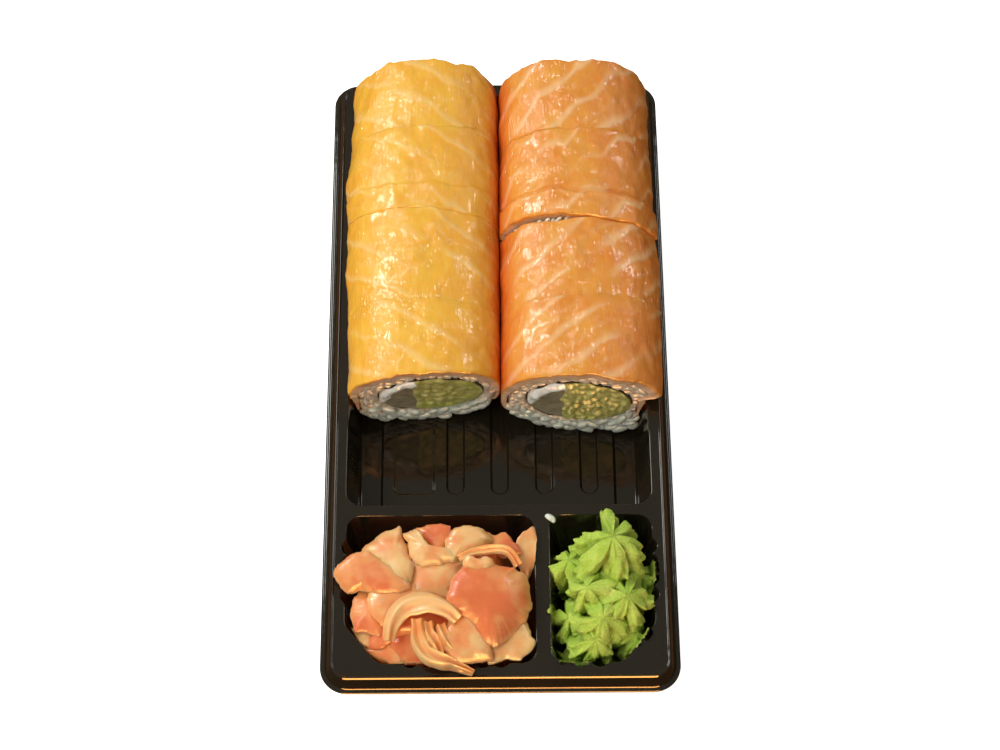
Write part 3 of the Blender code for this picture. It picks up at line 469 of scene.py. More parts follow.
def wasabi_material():
    """Grainy piped paste, with painted shade: deep green in the folds and low down, the paste's own green on
    the crests.
    """
    g = Graph("wasabi_paste")
    place = g.place()
    grain = g.noise(place, 1.5, 4.0, 0.7)
    mottle = g.noise(place, 0.22, 3.0)
    colour = g.blend(g.steps(mottle, 0.3, 0.7), (0.44, 0.70, 0.070), (0.62, 0.84, 0.135))
    # Painted shade: the dark green for the folds between the fins and for the low parts.
    fold = g.blend(0.7, colour, (0.20, 0.33, 0.03))
    colour = g.blend(g.steps(g.attribute("crest"), 0.1, 0.75), fold, colour)
    colour = g.blend(g.steps(grain, 0.48, 0.30, 0.0, 0.5), colour, (0.28, 0.48, 0.04))
    colour = g.blend(g.steps(grain, 0.52, 0.72, 0.0, 0.55), colour, (0.80, 0.92, 0.32))
    return g.finish(Base_Color=colour, Roughness=0.48, Normal=g.bump(grain, 0.9, 0.9), Subsurface_Weight=0.3,
                    Subsurface_Radius=(0.8, 1.0, 0.20), Subsurface_Scale=0.0018)


def rounded_profile(corners, radii, steps=4, support=0.1, longest=1.3):
    """A profile with arcs at its inner corners, close points beside each arc and long runs split up."""
    corners = [Vector(corner) for corner in corners]
    points = [corners[0]]
    for before, here, after, radius in zip(corners, corners[1:], corners[2:], radii):
        way_in, way_out = (here - before).normalized(), (after - here).normalized()
        turn = way_in.angle_signed(way_out)
        room = 0.45 * min((here - before).length, (after - here).length)
        tangent = min(radius * math.tan(abs(turn) / 2), room)
        radius = tangent / math.tan(abs(turn) / 2)
        start = here - way_in * tangent
        side = Vector((way_in.y, -way_in.x)) * math.copysign(1, turn)
        centre = start + side * radius
        if (points[-1] - start).length > 3 * support:
            points.append(start - way_in * support)
        for step in range(steps + 1):
            angle = -turn * step / steps
            spoke = start - centre
            points.append(centre + Vector((
                spoke.x * math.cos(angle) - spoke.y * math.sin(angle),
                spoke.x * math.sin(angle) + spoke.y * math.cos(angle))))
        if room > tangent + support:
            points.append(here + way_out * (tangent + support))
    points.append(corners[-1])
    split = [points[0]]
    for point in points[1:]:
        run = point - split[-1]
        parts = max(1, math.ceil(run.length / longest))
        start = split[-1]
        split += [start + run * i / parts for i in range(1, parts + 1)]
    return [(point.x, point.y) for point in split]


def edge_frames(corners):
    """Start, direction and outward normal of each side of a counter-clockwise polygon."""
    frames = []
    for i, start in enumerate(corners):
        direction = (corners[(i + 1) % len(corners)] - start).normalized()
        frames.append((start, direction, Vector((direction.y, -direction.x))))
    return frames


def pocket_outline(pocket, inset, depth_share, corner_steps=10):
    """Points of a pocket's edge drawn in by inset, with its scallops and bars."""
    corners = pocket["corners"]
    frames = edge_frames(corners)
    count = len(corners)
    moved = []
    for i in range(count):
        before_start, before_dir, before_normal = frames[i - 1]
        start, here_dir, here_normal = frames[i]
        line_a = before_start - before_normal * inset
        line_b = start - here_normal * inset
        moved.append(geometry.intersect_line_line_2d(
            line_a - before_dir * LIP_LENGTH, line_a + before_dir * LIP_LENGTH,
            line_b - here_dir * LIP_LENGTH, line_b + here_dir * LIP_LENGTH))
    points = []
    for i in range(count):
        before_normal = frames[i - 1][2]
        here_dir, here_normal = frames[i][1], frames[i][2]
        turn = abs(before_normal.angle_signed(here_normal))
        radius = max(pocket["radii"][i] - inset * 0.5, 1.0)
        centre_way = (before_normal + here_normal).normalized()
        centre = moved[i] - centre_way * (radius / math.cos(turn / 2))
        start_angle = math.atan2(before_normal.y, before_normal.x)
        for step in range(corner_steps + 1):
            angle = start_angle + turn * step / corner_steps
            points.append(centre + radius * Vector((math.cos(angle), math.sin(angle))))
        for along, offset in pocket["bumps"].get(i, lambda share: [])(depth_share):
            base = moved[i] + here_dir * (along - moved[i].dot(here_dir))
            points.append(base + here_normal * offset)
    return points


def scallops(first, count, way, steps=10):
    """Bumps of a row of scallops, from the first one on along a side."""
    def bumps(_depth_share):
        rows = []
        for i in range(count * steps + 1):
            share = i % steps / steps
            along = way * first + i * SCALLOP_PITCH / steps
            rows.append((along, SCALLOP_DEPTH * math.sin(math.pi * share)))
        return rows
    return bumps


def slanted_bars(way, steps=8):
    """Bumps of the slanted bars, which move backwards with depth and fade out at both ends."""
    def bumps(depth_share):
        fade = float(ramp(depth_share, 0.1, 0.2) * ramp(depth_share, 0.9, 0.8))
        rows = []
        for top in sorted(BAR_TOPS, key=lambda y: y * way):
            centre = (top + BAR_LEAN * depth_share) * way
            for i in range(steps + 1):
                share = i / steps - 0.5
                depth = float(ramp(abs(share), 0.5, 0.3)) * fade
                rows.append((centre + share * BAR_WIDTH, depth * BAR_DEPTH))
        return rows
    return bumps


def make_pockets():
    """The three pockets: corners counter-clockwise from the front left, radii and side bumps."""
    side = MAIN_HALF_WIDTH
    small = SMALL_HALF_WIDTH
    end_of_scallops = SIDE_SCALLOP_START - SIDE_SCALLOPS * SCALLOP_PITCH
    main = {
        "corners": [Vector(p) for p in (
            (-side, MAIN_FRONT), (side, MAIN_FRONT), (side, MAIN_BACK), (-side, MAIN_BACK))],
        "radii": (MAIN_CORNER,) * 4,
        "bumps": {1: slanted_bars(1), 3: slanted_bars(-1)},
    }
    ginger = {
        "corners": [Vector(p) for p in (
            (-small, SMALL_FRONT + CHAMFER_Y), (-small + CHAMFER_X, SMALL_FRONT), (GINGER_RIGHT, SMALL_FRONT),
            (GINGER_RIGHT, SMALL_BACK), (-small, SMALL_BACK))],
        "radii": (CHAMFER_ROUND, CHAMFER_ROUND, SMALL_CORNER, SMALL_CORNER, SMALL_CORNER),
        "bumps": {1: scallops(GINGER_FRONT_SCALLOP_START, GINGER_FRONT_SCALLOPS, 1),
                  4: scallops(SIDE_SCALLOP_START, SIDE_SCALLOPS, -1)},
    }
    wasabi = {
        "corners": [Vector(p) for p in (
            (WASABI_LEFT, SMALL_FRONT), (small - CHAMFER_X, SMALL_FRONT), (small, SMALL_FRONT + CHAMFER_Y),
            (small, SMALL_BACK), (WASABI_LEFT, SMALL_BACK))],
        "radii": (SMALL_CORNER, CHAMFER_ROUND, CHAMFER_ROUND, SMALL_CORNER, SMALL_CORNER),
        "bumps": {0: scallops(WASABI_FRONT_SCALLOP_START, WASABI_FRONT_SCALLOPS, 1),
                  2: scallops(end_of_scallops, SIDE_SCALLOPS, 1)},
    }
    return {"main": main, "ginger": ginger, "wasabi": wasabi}


def wall_distance(pocket, spots):
    """How far points lie inside a pocket's edge, rounded at its corners; negative outside."""
    spots = np.asarray(spots, float)
    away = []
    for start, _, normal in edge_frames(pocket["corners"]):
        away.append((start.x - spots[..., 0]) * normal.x + (start.y - spots[..., 1]) * normal.y)
    nearest = np.min(away, axis=0)
    for i, radius in enumerate(pocket["radii"]):
        before, here = away[i - 1], away[i]
        close = (before > 0) & (before < radius) & (here > 0) & (here < radius)
        rounded = radius - np.hypot(radius - before, radius - here)
        nearest = np.where(close, np.minimum(nearest, rounded), nearest)
    return nearest


def tray_height(pockets, spots):
    """Height of the tray's top face under points near the pockets."""
    insets = [inset for inset, _ in WALL_PROFILE]
    heights = [z for _, z in WALL_PROFILE]
    top = np.full(np.asarray(spots).shape[:-1], RIDGE_Z)
    for pocket in pockets.values():
        inset = wall_distance(pocket, spots)
        top = np.where(inset > 0, np.interp(inset, insets, heights), top)
    return top


def rounded_box(x_range, y_range, radius, steps):
    """Counter-clockwise rounded rectangle."""
    points = []
    left, right = x_range[0] + radius, x_range[1] - radius
    front, back = y_range[0] + radius, y_range[1] - radius
    corners = ((right, front, -90), (right, back, 0), (left, back, 90), (left, front, 180))
    for centre_x, centre_y, start in corners:
        for step in range(steps + 1):
            angle = math.radians(start + 90 * step / steps)
            points.append((centre_x + radius * math.cos(angle), centre_y + radius * math.sin(angle)))
    return points


class Sheet:
    """Collects the loops and faces of the tray's top face."""

    def __init__(self):
        self.points = []
        self.faces = []

    def loop(self, points, z):
        first = len(self.points)
        self.points += [(point[0], point[1], z) for point in points]
        return list(range(first, len(self.points)))

    def bridge(self, loop_a, loop_b):
        count = len(loop_a)
        for i in range(count):
            j = (i + 1) % count
            self.faces.append((loop_a[i], loop_a[j], loop_b[j], loop_b[i]))

    def run(self, loops):
        for loop_a, loop_b in zip(loops, loops[1:]):
            self.bridge(loop_a, loop_b)
        return loops[-1]

    def fill(self, loops):
        ids = [i for loop in loops for i in loop]
        outline = [[Vector(self.points[i]) for i in loop] for loop in loops]
        for triangle in geometry.tessellate_polygon(outline):
            self.faces.append(tuple(ids[i] for i in triangle))


def make_tray(pockets, material):
    """The thermoformed sheet, with rounded steps."""
    sheet = Sheet()
    rim = []
    for inset, z in rounded_profile(RIM_PROFILE, (RIM_ROUND,) * 4):
        half_x, half_y = LIP_WIDTH / 2 - inset, LIP_LENGTH / 2 - inset
        rim.append(sheet.loop(rounded_box((-half_x, half_x), (-half_y, half_y), LIP_CORNER - inset, 14), z))
    edges = [sheet.run(rim)]
    profile = rounded_profile(WALL_PROFILE, (TOP_ROUND, FOOT_ROUND))
    depth = FLANGE_Z - FLOOR_Z
    floors = {}
    for name, pocket in pockets.items():
        walls = [sheet.loop(pocket_outline(pocket, inset, (FLANGE_Z - z) / depth), z) for inset, z in profile]
        floors[name] = sheet.run(walls)
        edges.append(walls[0])
    sheet.fill(edges)
    sheet.fill([floors["ginger"]])
    sheet.fill([floors["wasabi"]])
    add_panel(sheet, floors["main"])
    points, faces = thicken(sheet)
    return add_piece("tray_sheet", points, faces, material, ["tray"])


def thicken(sheet):
    """Points and faces of the sheet with its thickness below its top face."""
    data = bmesh.new()
    verts = [data.verts.new(point) for point in sheet.points]
    for face in sheet.faces:
        data.faces.new([verts[i] for i in face])
    bmesh.ops.recalc_face_normals(data, faces=data.faces[:])
    if sum(face.normal.z * face.calc_area() for face in data.faces) < 0:
        bmesh.ops.reverse_faces(data, faces=data.faces[:])
    data.verts.index_update()
    count = len(verts)
    points = [tuple(vert.co) for vert in verts]
    for vert in verts:
        push = sum((face.normal * face.calc_area() ** 0.5 for face in vert.link_faces), Vector()).normalized()
        least = max(min(push.dot(face.normal) for face in vert.link_faces), 0.7)
        under = vert.co - push * (SHEET / least)
        points.append((under.x, under.y, max(under.z, 0.0)))
    faces = [[vert.index for vert in face.verts] for face in data.faces]
    faces += [[i + count for i in reversed(face)] for face in faces]
    for edge in data.edges:
        if edge.is_boundary:
            loop = edge.link_loops[0]
            start, end = loop.vert.index, loop.link_loop_next.vert.index
            faces.append([end, start, start + count, end + count])
    data.free()
    return points, faces


def sunk_step(sheet, x_range, y_range, radius, z_high, z_low, grow):
    """Rounded step from a high outline to a low one; grow is 1 for a sunk field, -1 for a raised one."""
    corners = ((-STEP_FLAT, z_high), (0.0, z_high), (PANEL_STEP, z_low), (PANEL_STEP + STEP_FLAT, z_low))
    profile = rounded_profile(corners, (STEP_ROUND,) * 2, 3, 0.05)
    loops = []
    for inset, z in profile:
        inset *= grow
        xs = (x_range[0] + inset, x_range[1] - inset)
        ys = (y_range[0] + inset, y_range[1] - inset)
        loops.append(sheet.loop(rounded_box(xs, ys, max(radius - inset, 0.3), 10), z))
    sheet.run(loops)
    return loops[0], loops[-1]


def add_panel(sheet, floor):
    """The raised panel on the main floor, with its sunk ribs and label field."""
    floor_inset = WALL_PROFILE[-1][0]
    front = MAIN_FRONT + floor_inset + PANEL_END_MARGIN + PANEL_STEP
    back = MAIN_BACK - floor_inset - PANEL_END_MARGIN - PANEL_STEP
    half = PANEL_HALF_WIDTH - PANEL_STEP
    top, foot = sunk_step(sheet, (-half, half), (front, back), PANEL_CORNER, PANEL_Z, FLOOR_Z, -1)
    sheet.fill([floor, foot])
    holes = []
    half_rib = RIB_WIDTH / 2
    fields = [((x - half_rib, x + half_rib), half_rib - 0.05, PANEL_Z - FLOOR_Z) for x in RIB_X]
    fields.append((LABEL_X, LABEL_CORNER, LABEL_SINK))
    for x_range, radius, sink in fields:
        edge, low = sunk_step(sheet, x_range, (RIB_FRONT, RIB_BACK), radius, PANEL_Z, PANEL_Z - sink, 1)
        sheet.fill([low])
        holes.append(edge)
    sheet.fill([top] + holes)


def roll_limit(z):
    """Furthest distance from the middle that a roll may reach at a height, given the tray's wall."""
    inside = MAIN_HALF_WIDTH - np.interp(z, CAD_WALL_HEIGHTS, CAD_WALL_INSETS) - 2 * GAP
    share = np.clip((z - FLANGE_Z - BULGE_START) / BULGE_HEIGHT, 0.0, 1.0)
    above = MAIN_HALF_WIDTH - 2 * GAP + BULGE_REACH * np.sin(math.pi / 2 * share)
    return np.where(z < FLANGE_Z, inside, above)


class Piece:
    """One cut piece of a roll. Its outline blends into its neighbours' at the cuts."""

    def __init__(self, row, index):
        self.row = row
        self.index = index
        self.label = f"{row}_{index + 1}"
        self.way = -1.0 if row == "left" else 1.0
        self.front = ROLL_CUTS[row][index]
        self.back = ROLL_CUTS[row][index + 1]
        self.front_look = CUT_LOOKS[row][index]
        self.back_look = CUT_LOOKS[row][index + 1]
        last = len(ROLL_OUTER[row]) - 1
        self.before = max(index - 1, 0)
        self.after = min(index + 1, last)

    def measure(self, table, share):
        """A size from a table at a share of the length, halfway to the neighbour's at a cut."""
        here = table[self.row][self.index]
        front = (table[self.row][self.before] - here) / 2 * ramp(share, 0.5, 0.0)
        back = (table[self.row][self.after] - here) / 2 * ramp(share, 0.5, 1.0)
        return here + front + back

    def section(self, degrees, inset, share=0.5):
        """Points of the cross-section, drawn in by inset; 0 degrees is towards +X, 90 is the top."""
        seam = SEAM_X + self.way * SEAM_GAP / 2
        outer = self.measure(ROLL_OUTER, share)
        top = self.measure(ROLL_TOP, share)
        centre_x, half_x = (seam + outer) / 2, np.abs(outer - seam) / 2
        centre_z, half_z = (ROLL_BOTTOM + top) / 2, (top - ROLL_BOTTOM) / 2
        angle = np.radians(degrees)
        power = 2 / ROLL_ROUNDNESS
        cosine, sine = np.cos(angle), np.sin(angle)
        x = centre_x + (half_x - inset) * np.sign(cosine) * np.abs(cosine) ** power
        z = centre_z + (half_z - inset) * np.sign(sine) * np.abs(sine) ** power
        limit = roll_limit(z) - np.maximum(inset, 0.0)
        outwards = np.maximum(x * self.way, SEAM_X * self.way + SEAM_GAP / 2)
        return self.way * np.minimum(outwards, limit), z

    def cut_y(self, cut, x, z):
        """Y of a cut face at places in the cross-section."""
        place, skew, lean = cut
        outer = ROLL_OUTER[self.row][self.index]
        seam = SEAM_X + self.way * SEAM_GAP / 2
        top = ROLL_TOP[self.row][self.index]
        outwards = (x - (seam + outer) / 2) * self.way / (abs(outer - seam) / 2)
        upwards = (z - (ROLL_BOTTOM + top) / 2) / ((top - ROLL_BOTTOM) / 2)
        return place + skew * outwards + lean * upwards

    def even_angles(self, start, end, spacing):
        """Angles at even steps along the outline, and each one's distance from the top."""
        dense = np.linspace(start, end, 2400)
        x, z = self.section(dense, 0.0)
        run = np.concatenate([[0.0], np.cumsum(np.hypot(np.diff(x), np.diff(z)))])
        count = int(run[-1] / spacing)
        even = np.linspace(0.0, run[-1], count + 1)
        angles = np.interp(even, run, dense)
        return angles, np.interp(90.0, dense, run) - even


def fat_lines(piece, s, y):
    """Strength of the pale fat lines over the salmon, at a distance s from the top line and at y."""
    spots = np.stack([s, y], axis=-1)
    slant, pitch, width, strength = FAT_LINES[piece.row]
    drift = 1.7 * smooth_noise(spots, 12.0, 3) + 0.6 * smooth_noise(spots, 3.4, 4)
    zigzag = FAT_ZIGZAG[piece.row][piece.index] * (np.abs((s / 5.2 + 0.3 * piece.index) % 2 - 1) - 0.5)
    shifted = y - slant * s + drift + zigzag + 3.7 * piece.index
    turn = math.cos(math.atan(slant))
    away = ((shifted / pitch) % 1 - 0.5) * pitch * turn
    wide = width * (1 + 0.6 * smooth_noise(spots, 6.0, 5))
    line = np.where(away > 0, ramp(away, wide * 2.2, 0.0), ramp(-away, wide * 1.1, 0.1))
    fade = ramp(smooth_noise(spots, 13.0, 6), -0.75, 0.25)
    thin_away = np.abs((shifted / pitch + 0.5) % 1 - 0.5) * pitch * turn
    thin = 0.25 * ramp(thin_away, 0.6, 0.1) * ramp(smooth_noise(spots, 8.0, 7), 0.0, 0.5)
    return strength * np.maximum(line * fade, thin)


def salmon_relief(piece, s, y, share):
    """How far the salmon's outer face is drawn in: lumps of the rice below, ripples and fat lines."""
    spots = np.stack([s, y], axis=-1)
    lumps = 0.34 * smooth_noise(spots, 6.0, 11) + 0.18 * smooth_noise(spots, 2.6, 12)
    outside = ramp(piece.way * s, 18.0, 30.0)
    lumps = lumps + 0.4 * outside * smooth_noise(spots, 5.0, 14)
    ripples = 0.06 * smooth_noise(np.stack([s / 1.3, y / 4.5], axis=-1), 1.0, 13)
    lines = 0.14 * fat_lines(piece, s, y)
    return lumps + ripples - lines - 0.30 * np.sin(math.pi * share)


def ragged_edge(s, y, seed, wide, fine):
    """How far a cut edge of the salmon strays along the roll, in wide and in fine waves."""
    spots = np.stack([s, np.full_like(s, y)], axis=-1)
    return smooth_noise(spots, 5.0, seed) * wide + smooth_noise(spots, 1.7, seed + 1) * fine


def make_salmon(piece, material):
    """The slice of salmon round the top and sides, with ragged rounded cut edges."""
    angles, s = piece.even_angles(-SALMON_LOW_ANGLE, 180 + SALMON_LOW_ANGLE, FINE)
    length = piece.back[0] - piece.front[0]
    rows = []
    arcs = [math.radians(degrees) for degrees in range(0, 91, 15)]
    front_depth, front_width = piece.front_look[1:]
    back_depth, back_width = piece.back_look[1:]
    for face in CUT_FACE_SHARES:
        rows.append((0.0, 0.0, face * SALMON_THICK, 1.0, 0))
    for arc in arcs:
        rows.append((0.0, front_width * (1 - math.cos(arc)), front_depth * (1 - math.sin(arc)), 1.0, 1))
    steps = int((length - front_width - back_width) / FINE)
    for i in range(1, steps):
        rows.append((i / steps, front_width * (1 - i / steps) - back_width * i / steps, 0.0, 0.0, 1))
    for arc in reversed(arcs):
        rows.append((1.0, -back_width * (1 - math.cos(arc)), back_depth * (1 - math.sin(arc)), 1.0, 1))
    for face in reversed(CUT_FACE_SHARES):
        rows.append((1.0, 0.0, face * SALMON_THICK, 1.0, 0))
    taper = salmon_taper(angles)
    free_front, free_back = piece.index == 0, piece.index == len(ROLL_OUTER[piece.row]) - 1
    points, fat, cut_face, flat = [], [], [], []
    seed = 20 if piece.row == "left" else 40
    along = np.stack([s, 0 * s], axis=-1)
    groove_fade = np.clip(0.7 + 0.9 * smooth_noise(along, 6.0, seed + 9), 0.15, 1.3)
    strip_edge = STRIP_LENGTH + 1.0 * smooth_noise(along, 7.0, seed + 5)
    strip_edge = strip_edge + 0.3 * smooth_noise(along, 1.8, seed + 6)
    strip_strength = 1.5 if piece.row == "right" else 0.35
    front_jag = ragged_edge(s, piece.front[0], seed, 0.7 if free_front else 0.6, 0.35)
    back_jag = ragged_edge(s, piece.back[0], seed, 1.3 if free_back else 0.6, 0.6 if free_back else 0.35)
    flank = 0.35 * ramp(np.abs(angles - 90), 45, 85)
    # Painted shade: darker over the right-hand side and a little on the far left flank.
    warm = ramp(s, -4.0, 22.0) * 0.55 + 0.3 * ramp(-s, 16.0, 30.0)
    # Painted shade in the gap between the two rolls.
    seam = ramp(-piece.way * s, 17.0, 28.0)
    for share, from_end, inset, at_cut, outer_face in rows:
        y_even = piece.front[0] + length * share + from_end
        y_here = np.full_like(s, y_even)
        relief = salmon_relief(piece, s, y_here, share) * (1.0 if outer_face else 0.4)
        strip = np.zeros_like(s)
        if piece.index == STRIP_PIECE:
            from_front = y_even - piece.front[0]
            strip = -STRIP_RISE * ramp(from_front, strip_edge + 0.4, strip_edge - 0.4) * outer_face
            strip += 0.3 * ramp(np.abs(from_front - strip_edge - 0.6), 0.9, 0.1) * outer_face
        free = (share < 0.5 and free_front) or (share > 0.5 and free_back)
        fade = 1.0 if free or not outer_face else groove_fade
        drawn_in = inset * taper * fade + relief + strip * strip_strength
        x, z = piece.section(angles, drawn_in, np.clip(share + from_end / length, 0, 1))
        front = piece.cut_y(piece.front, x, z) + front_jag + cut_gap(piece, piece.front_look, s) / 2
        back = piece.cut_y(piece.back, x, z) + back_jag - cut_gap(piece, piece.back_look, s) / 2
        y = front + (back - front) * share + from_end
        points.append(np.stack([x, y, z], axis=-1))
        fat.append(fat_lines(piece, s, y_here) * (1.0 if outer_face else 0.3))
        depth = front_depth if share < 0.5 else back_depth
        groove = min(depth / 0.6, 1.0) * (0.7 if at_cut and inset > 0.45 * depth else 0.0)
        outer_tone, face_tone = np.full_like(s, groove * 0.5), 0.45 + 0.5 * inset / SALMON_THICK + flank
        cut_face.append(outer_tone if outer_face else face_tone)
        flat.append(np.stack([s, y, np.full_like(s, seed)], axis=-1))
    count_rows, count_cols = len(rows), len(angles)
    faces = grid_faces(count_rows, count_cols)
    last = (count_rows - 1) * count_cols
    faces += [(last + j, last + j + 1, j + 1, j) for j in range(count_cols - 1)]
    for col in (0, count_cols - 1):
        faces.append([i * count_cols + col for i in range(count_rows)])
    values = {"fat": np.concatenate(fat), "cut_face": np.concatenate(cut_face),
              "warm": np.tile(warm, count_rows), "seam": np.tile(seam, count_rows),
              "flat_place": np.concatenate(flat)}
    return add_piece(f"salmon_slice_{piece.label}", np.concatenate(points), faces, material,
                     [f"salmon_{piece.label}"], values, 70.0)


def cut_gap(piece, look, s):
    """Width of a cut's gap round the outline: an open one closes towards the outer side."""
    if look[0] < 0.5:
        return np.full_like(s, look[0])
    ragged = 0.9 * smooth_noise(np.stack([s, 0 * s], axis=-1), 2.6, 61)
    return 0.15 + np.maximum(look[0] + ragged, 0.1) * ramp(s, 6.0, -9.0)


def nori_point(piece, degrees, inset):
    """Points of the seaweed ring's outline, drawn in by inset."""
    centre_x, centre_z = NORI_CENTRE[piece.row]
    half_x, half_z = NORI_HALF[piece.row]
    angle = np.radians(degrees)
    return centre_x + (half_x - inset) * np.cos(angle), centre_z + (half_z - inset) * np.sin(angle)


def from_bottom(degrees):
    """Angle between a place on the roll's outline and its bottom."""
    return np.abs((np.asarray(degrees) + 90 + 180) % 360 - 180)


def salmon_taper(degrees):
    """Share of its full thickness that the salmon has: it thins towards its low edges."""
    low_edge = 90 - SALMON_LOW_ANGLE
    return 0.3 + 0.7 * ramp(from_bottom(degrees), low_edge, low_edge + 50)


def rice_inset(degrees):
    """How far the rice lies in from the roll's outline."""
    beyond = (90 - SALMON_LOW_ANGLE - 2.0) - from_bottom(degrees)
    return (SALMON_THICK * salmon_taper(degrees) + GAP) * (1 - np.clip(beyond / 9.0, 0.0, 1.0))


def make_grain(draw, length, width, height):
    """Points of one grain of rice along X, slightly bent, and its faces."""
    around, along = 8, 7
    bend = draw.uniform(-0.35, 0.35)
    points, faces = [], []
    for i in range(along):
        t = math.pi * i / (along - 1)
        x = -math.cos(t) * length / 2
        reach = max(math.sin(t), 0.02) ** 0.75
        for j in range(around):
            angle = 2 * math.pi * j / around
            y = math.cos(angle) * width / 2 * reach + bend * (1 - (2 * x / length) ** 2)
            z = math.sin(angle) * height / 2 * reach
            points.append((x, y, z))
    return np.array(points), capped_tube(along, around)


def scatter_grains(places, seed):
    """Joined grains at places: centre, directions of its length and out of the surface, size, pinkness."""
    draw = random.Random(seed)
    parts = []
    for centre, along, out, size, pinkness in places:
        along, out = Vector(along).normalized(), Vector(out)
        side = out.cross(along).normalized()
        out = along.cross(side).normalized()
        sizes = [draw.uniform(*limits) * size for limits in (GRAIN_LENGTH, GRAIN_WIDTH, GRAIN_HEIGHT)]
        local, local_faces = make_grain(draw, *sizes)
        turned = local @ np.array([tuple(along), tuple(side), tuple(out)]) + np.array(centre)
        parts.append((turned, local_faces, np.full(len(turned), pinkness)))
    points, faces, (pink,) = join_parts(parts)
    return points, faces, pink


def end_places(piece, at_back, seed):
    """Places of grains over the rice of a cut end: whole ones low down, sunk ones higher up."""
    draw = random.Random(seed)
    places, spots = [], []
    cut = piece.back if at_back else piece.front
    out_way = 1.0 if at_back else -1.0
    for _ in range(GRAIN_TRIES):
        degrees = draw.uniform(-180, 180)
        low = abs(degrees + 90)
        whole = float(ramp(low, 78.0, 50.0))
        blend = draw.uniform(0.0, 0.85)
        outer_x, outer_z = piece.section(degrees, float(rice_inset(degrees)) + 0.5, 1.0 if at_back else 0.0)
        inner_x, inner_z = nori_point(piece, degrees, -GAP - 0.3)
        x = float(outer_x + (inner_x - outer_x) * blend)
        z = float(outer_z + (inner_z - outer_z) * blend)
        if any(math.hypot(x - a, (z - b) * 1.3) < GRAIN_SPACING for a, b in spots):
            continue
        spots.append((x, z))
        sunk = -1.1 + 1.0 * whole
        y = float(piece.cut_y(cut, x, z)) + out_way * (sunk + draw.uniform(-0.25, 0.3))
        around = math.radians(degrees + 90 + draw.uniform(-28, 28))
        along = (math.cos(around), draw.uniform(-0.3, 0.3), math.sin(around) * 0.8)
        pink = 0.9 * float(ramp(low, 48.0, 85.0)) * draw.uniform(0.8, 1.0)
        places.append(((x, y, z), along, (0, out_way, 0.15), draw.uniform(0.85, 1.1), pink))
    return places


def make_rice(piece, material):
    """Rice core with bumps on the ends that show, and grains over those ends."""
    shows = (piece.index == 0, piece.index == len(ROLL_OUTER[piece.row]) - 1)
    angles = np.linspace(-90.0, 270.0, 361)[:-1]
    rows, pink_rows = [], []
    for at_back, cut, order in ((False, piece.front, RICE_BLENDS), (True, piece.back, RICE_BLENDS[::-1])):
        out_way = 1.0 if at_back else -1.0
        shown = shows[1] if at_back else shows[0]
        for blend in order:
            outer_x, outer_z = piece.section(angles, rice_inset(angles) + 0.3, 1.0 if at_back else 0.0)
            inner_x, inner_z = nori_point(piece, angles, -0.1 if shown else -GAP)
            x = outer_x + (inner_x - outer_x) * blend
            z = outer_z + (inner_z - outer_z) * blend
            spots = np.stack([x, z], axis=-1)
            nearest, second = cell_noise(spots / np.array([1.5, 1.0]), 1.9, 31)
            bump = 0.55 * ramp(second - nearest, 0.0, 0.5) + 0.35 * smooth_noise(spots, 3.0, 32)
            back_off = 0.5 if not shown else 0.6 + 0.5 * (blend in (0.0, 1.0))
            y = piece.cut_y(cut, x, z) - out_way * (back_off - bump * (0 < blend < 1) * shown)
            rows.append(np.stack([x, y, z], axis=-1))
            pink_rows.append(0.9 * ramp(np.abs(angles + 90), 48.0, 85.0))
    points, faces = closed_ring(rows)
    pink = np.concatenate(pink_rows)
    for at_back, shown in enumerate(shows):
        if shown:
            seed = 70 + piece.index + (10 if piece.row == "left" else 0)
            grains = scatter_grains(end_places(piece, bool(at_back), seed), seed)
            points, faces, (pink,) = join_parts([(points, faces, pink), grains])
    return add_piece(f"rice_roll_{piece.label}", points, faces, material,
                     [f"rice_{piece.label}"], {"pink": pink}, 70.0)


def make_nori(piece, material):
    """The seaweed ring, crinkled, with an uneven edge that sinks out of sight in places."""
    angles = np.linspace(0.0, 360.0, 145)[:-1]
    circle = np.stack([np.cos(np.radians(angles)), np.sin(np.radians(angles))], axis=-1) * 12
    crinkle = 0.22 * smooth_noise(circle, 2.6, 51) + 0.1 * smooth_noise(circle, 1.1, 52)
    rows = []
    for share, inset in ((0.0, NORI_THICK), (0.0, 0.25), (0.0, 0.0), (0.5, 0.0), (1.0, 0.0), (1.0, 0.25),
                         (1.0, NORI_THICK), (0.5, NORI_THICK)):
        x, z = nori_point(piece, angles, inset + crinkle)
        front = piece.cut_y(piece.front, x, z)
        back = piece.cut_y(piece.back, x, z)
        stand = 0.25 + 0.9 * smooth_noise(circle, 5.0, 53) + 0.35 * smooth_noise(circle, 1.6, 54)
        stand = np.clip(stand - 1.0 * ramp(np.abs((angles - 50 + 180) % 360 - 180), 35.0, 90.0), -1.2, 0.7)
        y = front + (back - front) * share - stand * (share < 0.25) + stand * (share > 0.75)
        rows.append(np.stack([x, y, z], axis=-1))
    points, faces = closed_ring(rows)
    return add_piece(f"nori_ring_{piece.label}", points, faces, material,
                     [f"nori_{piece.label}"], None, 60.0)


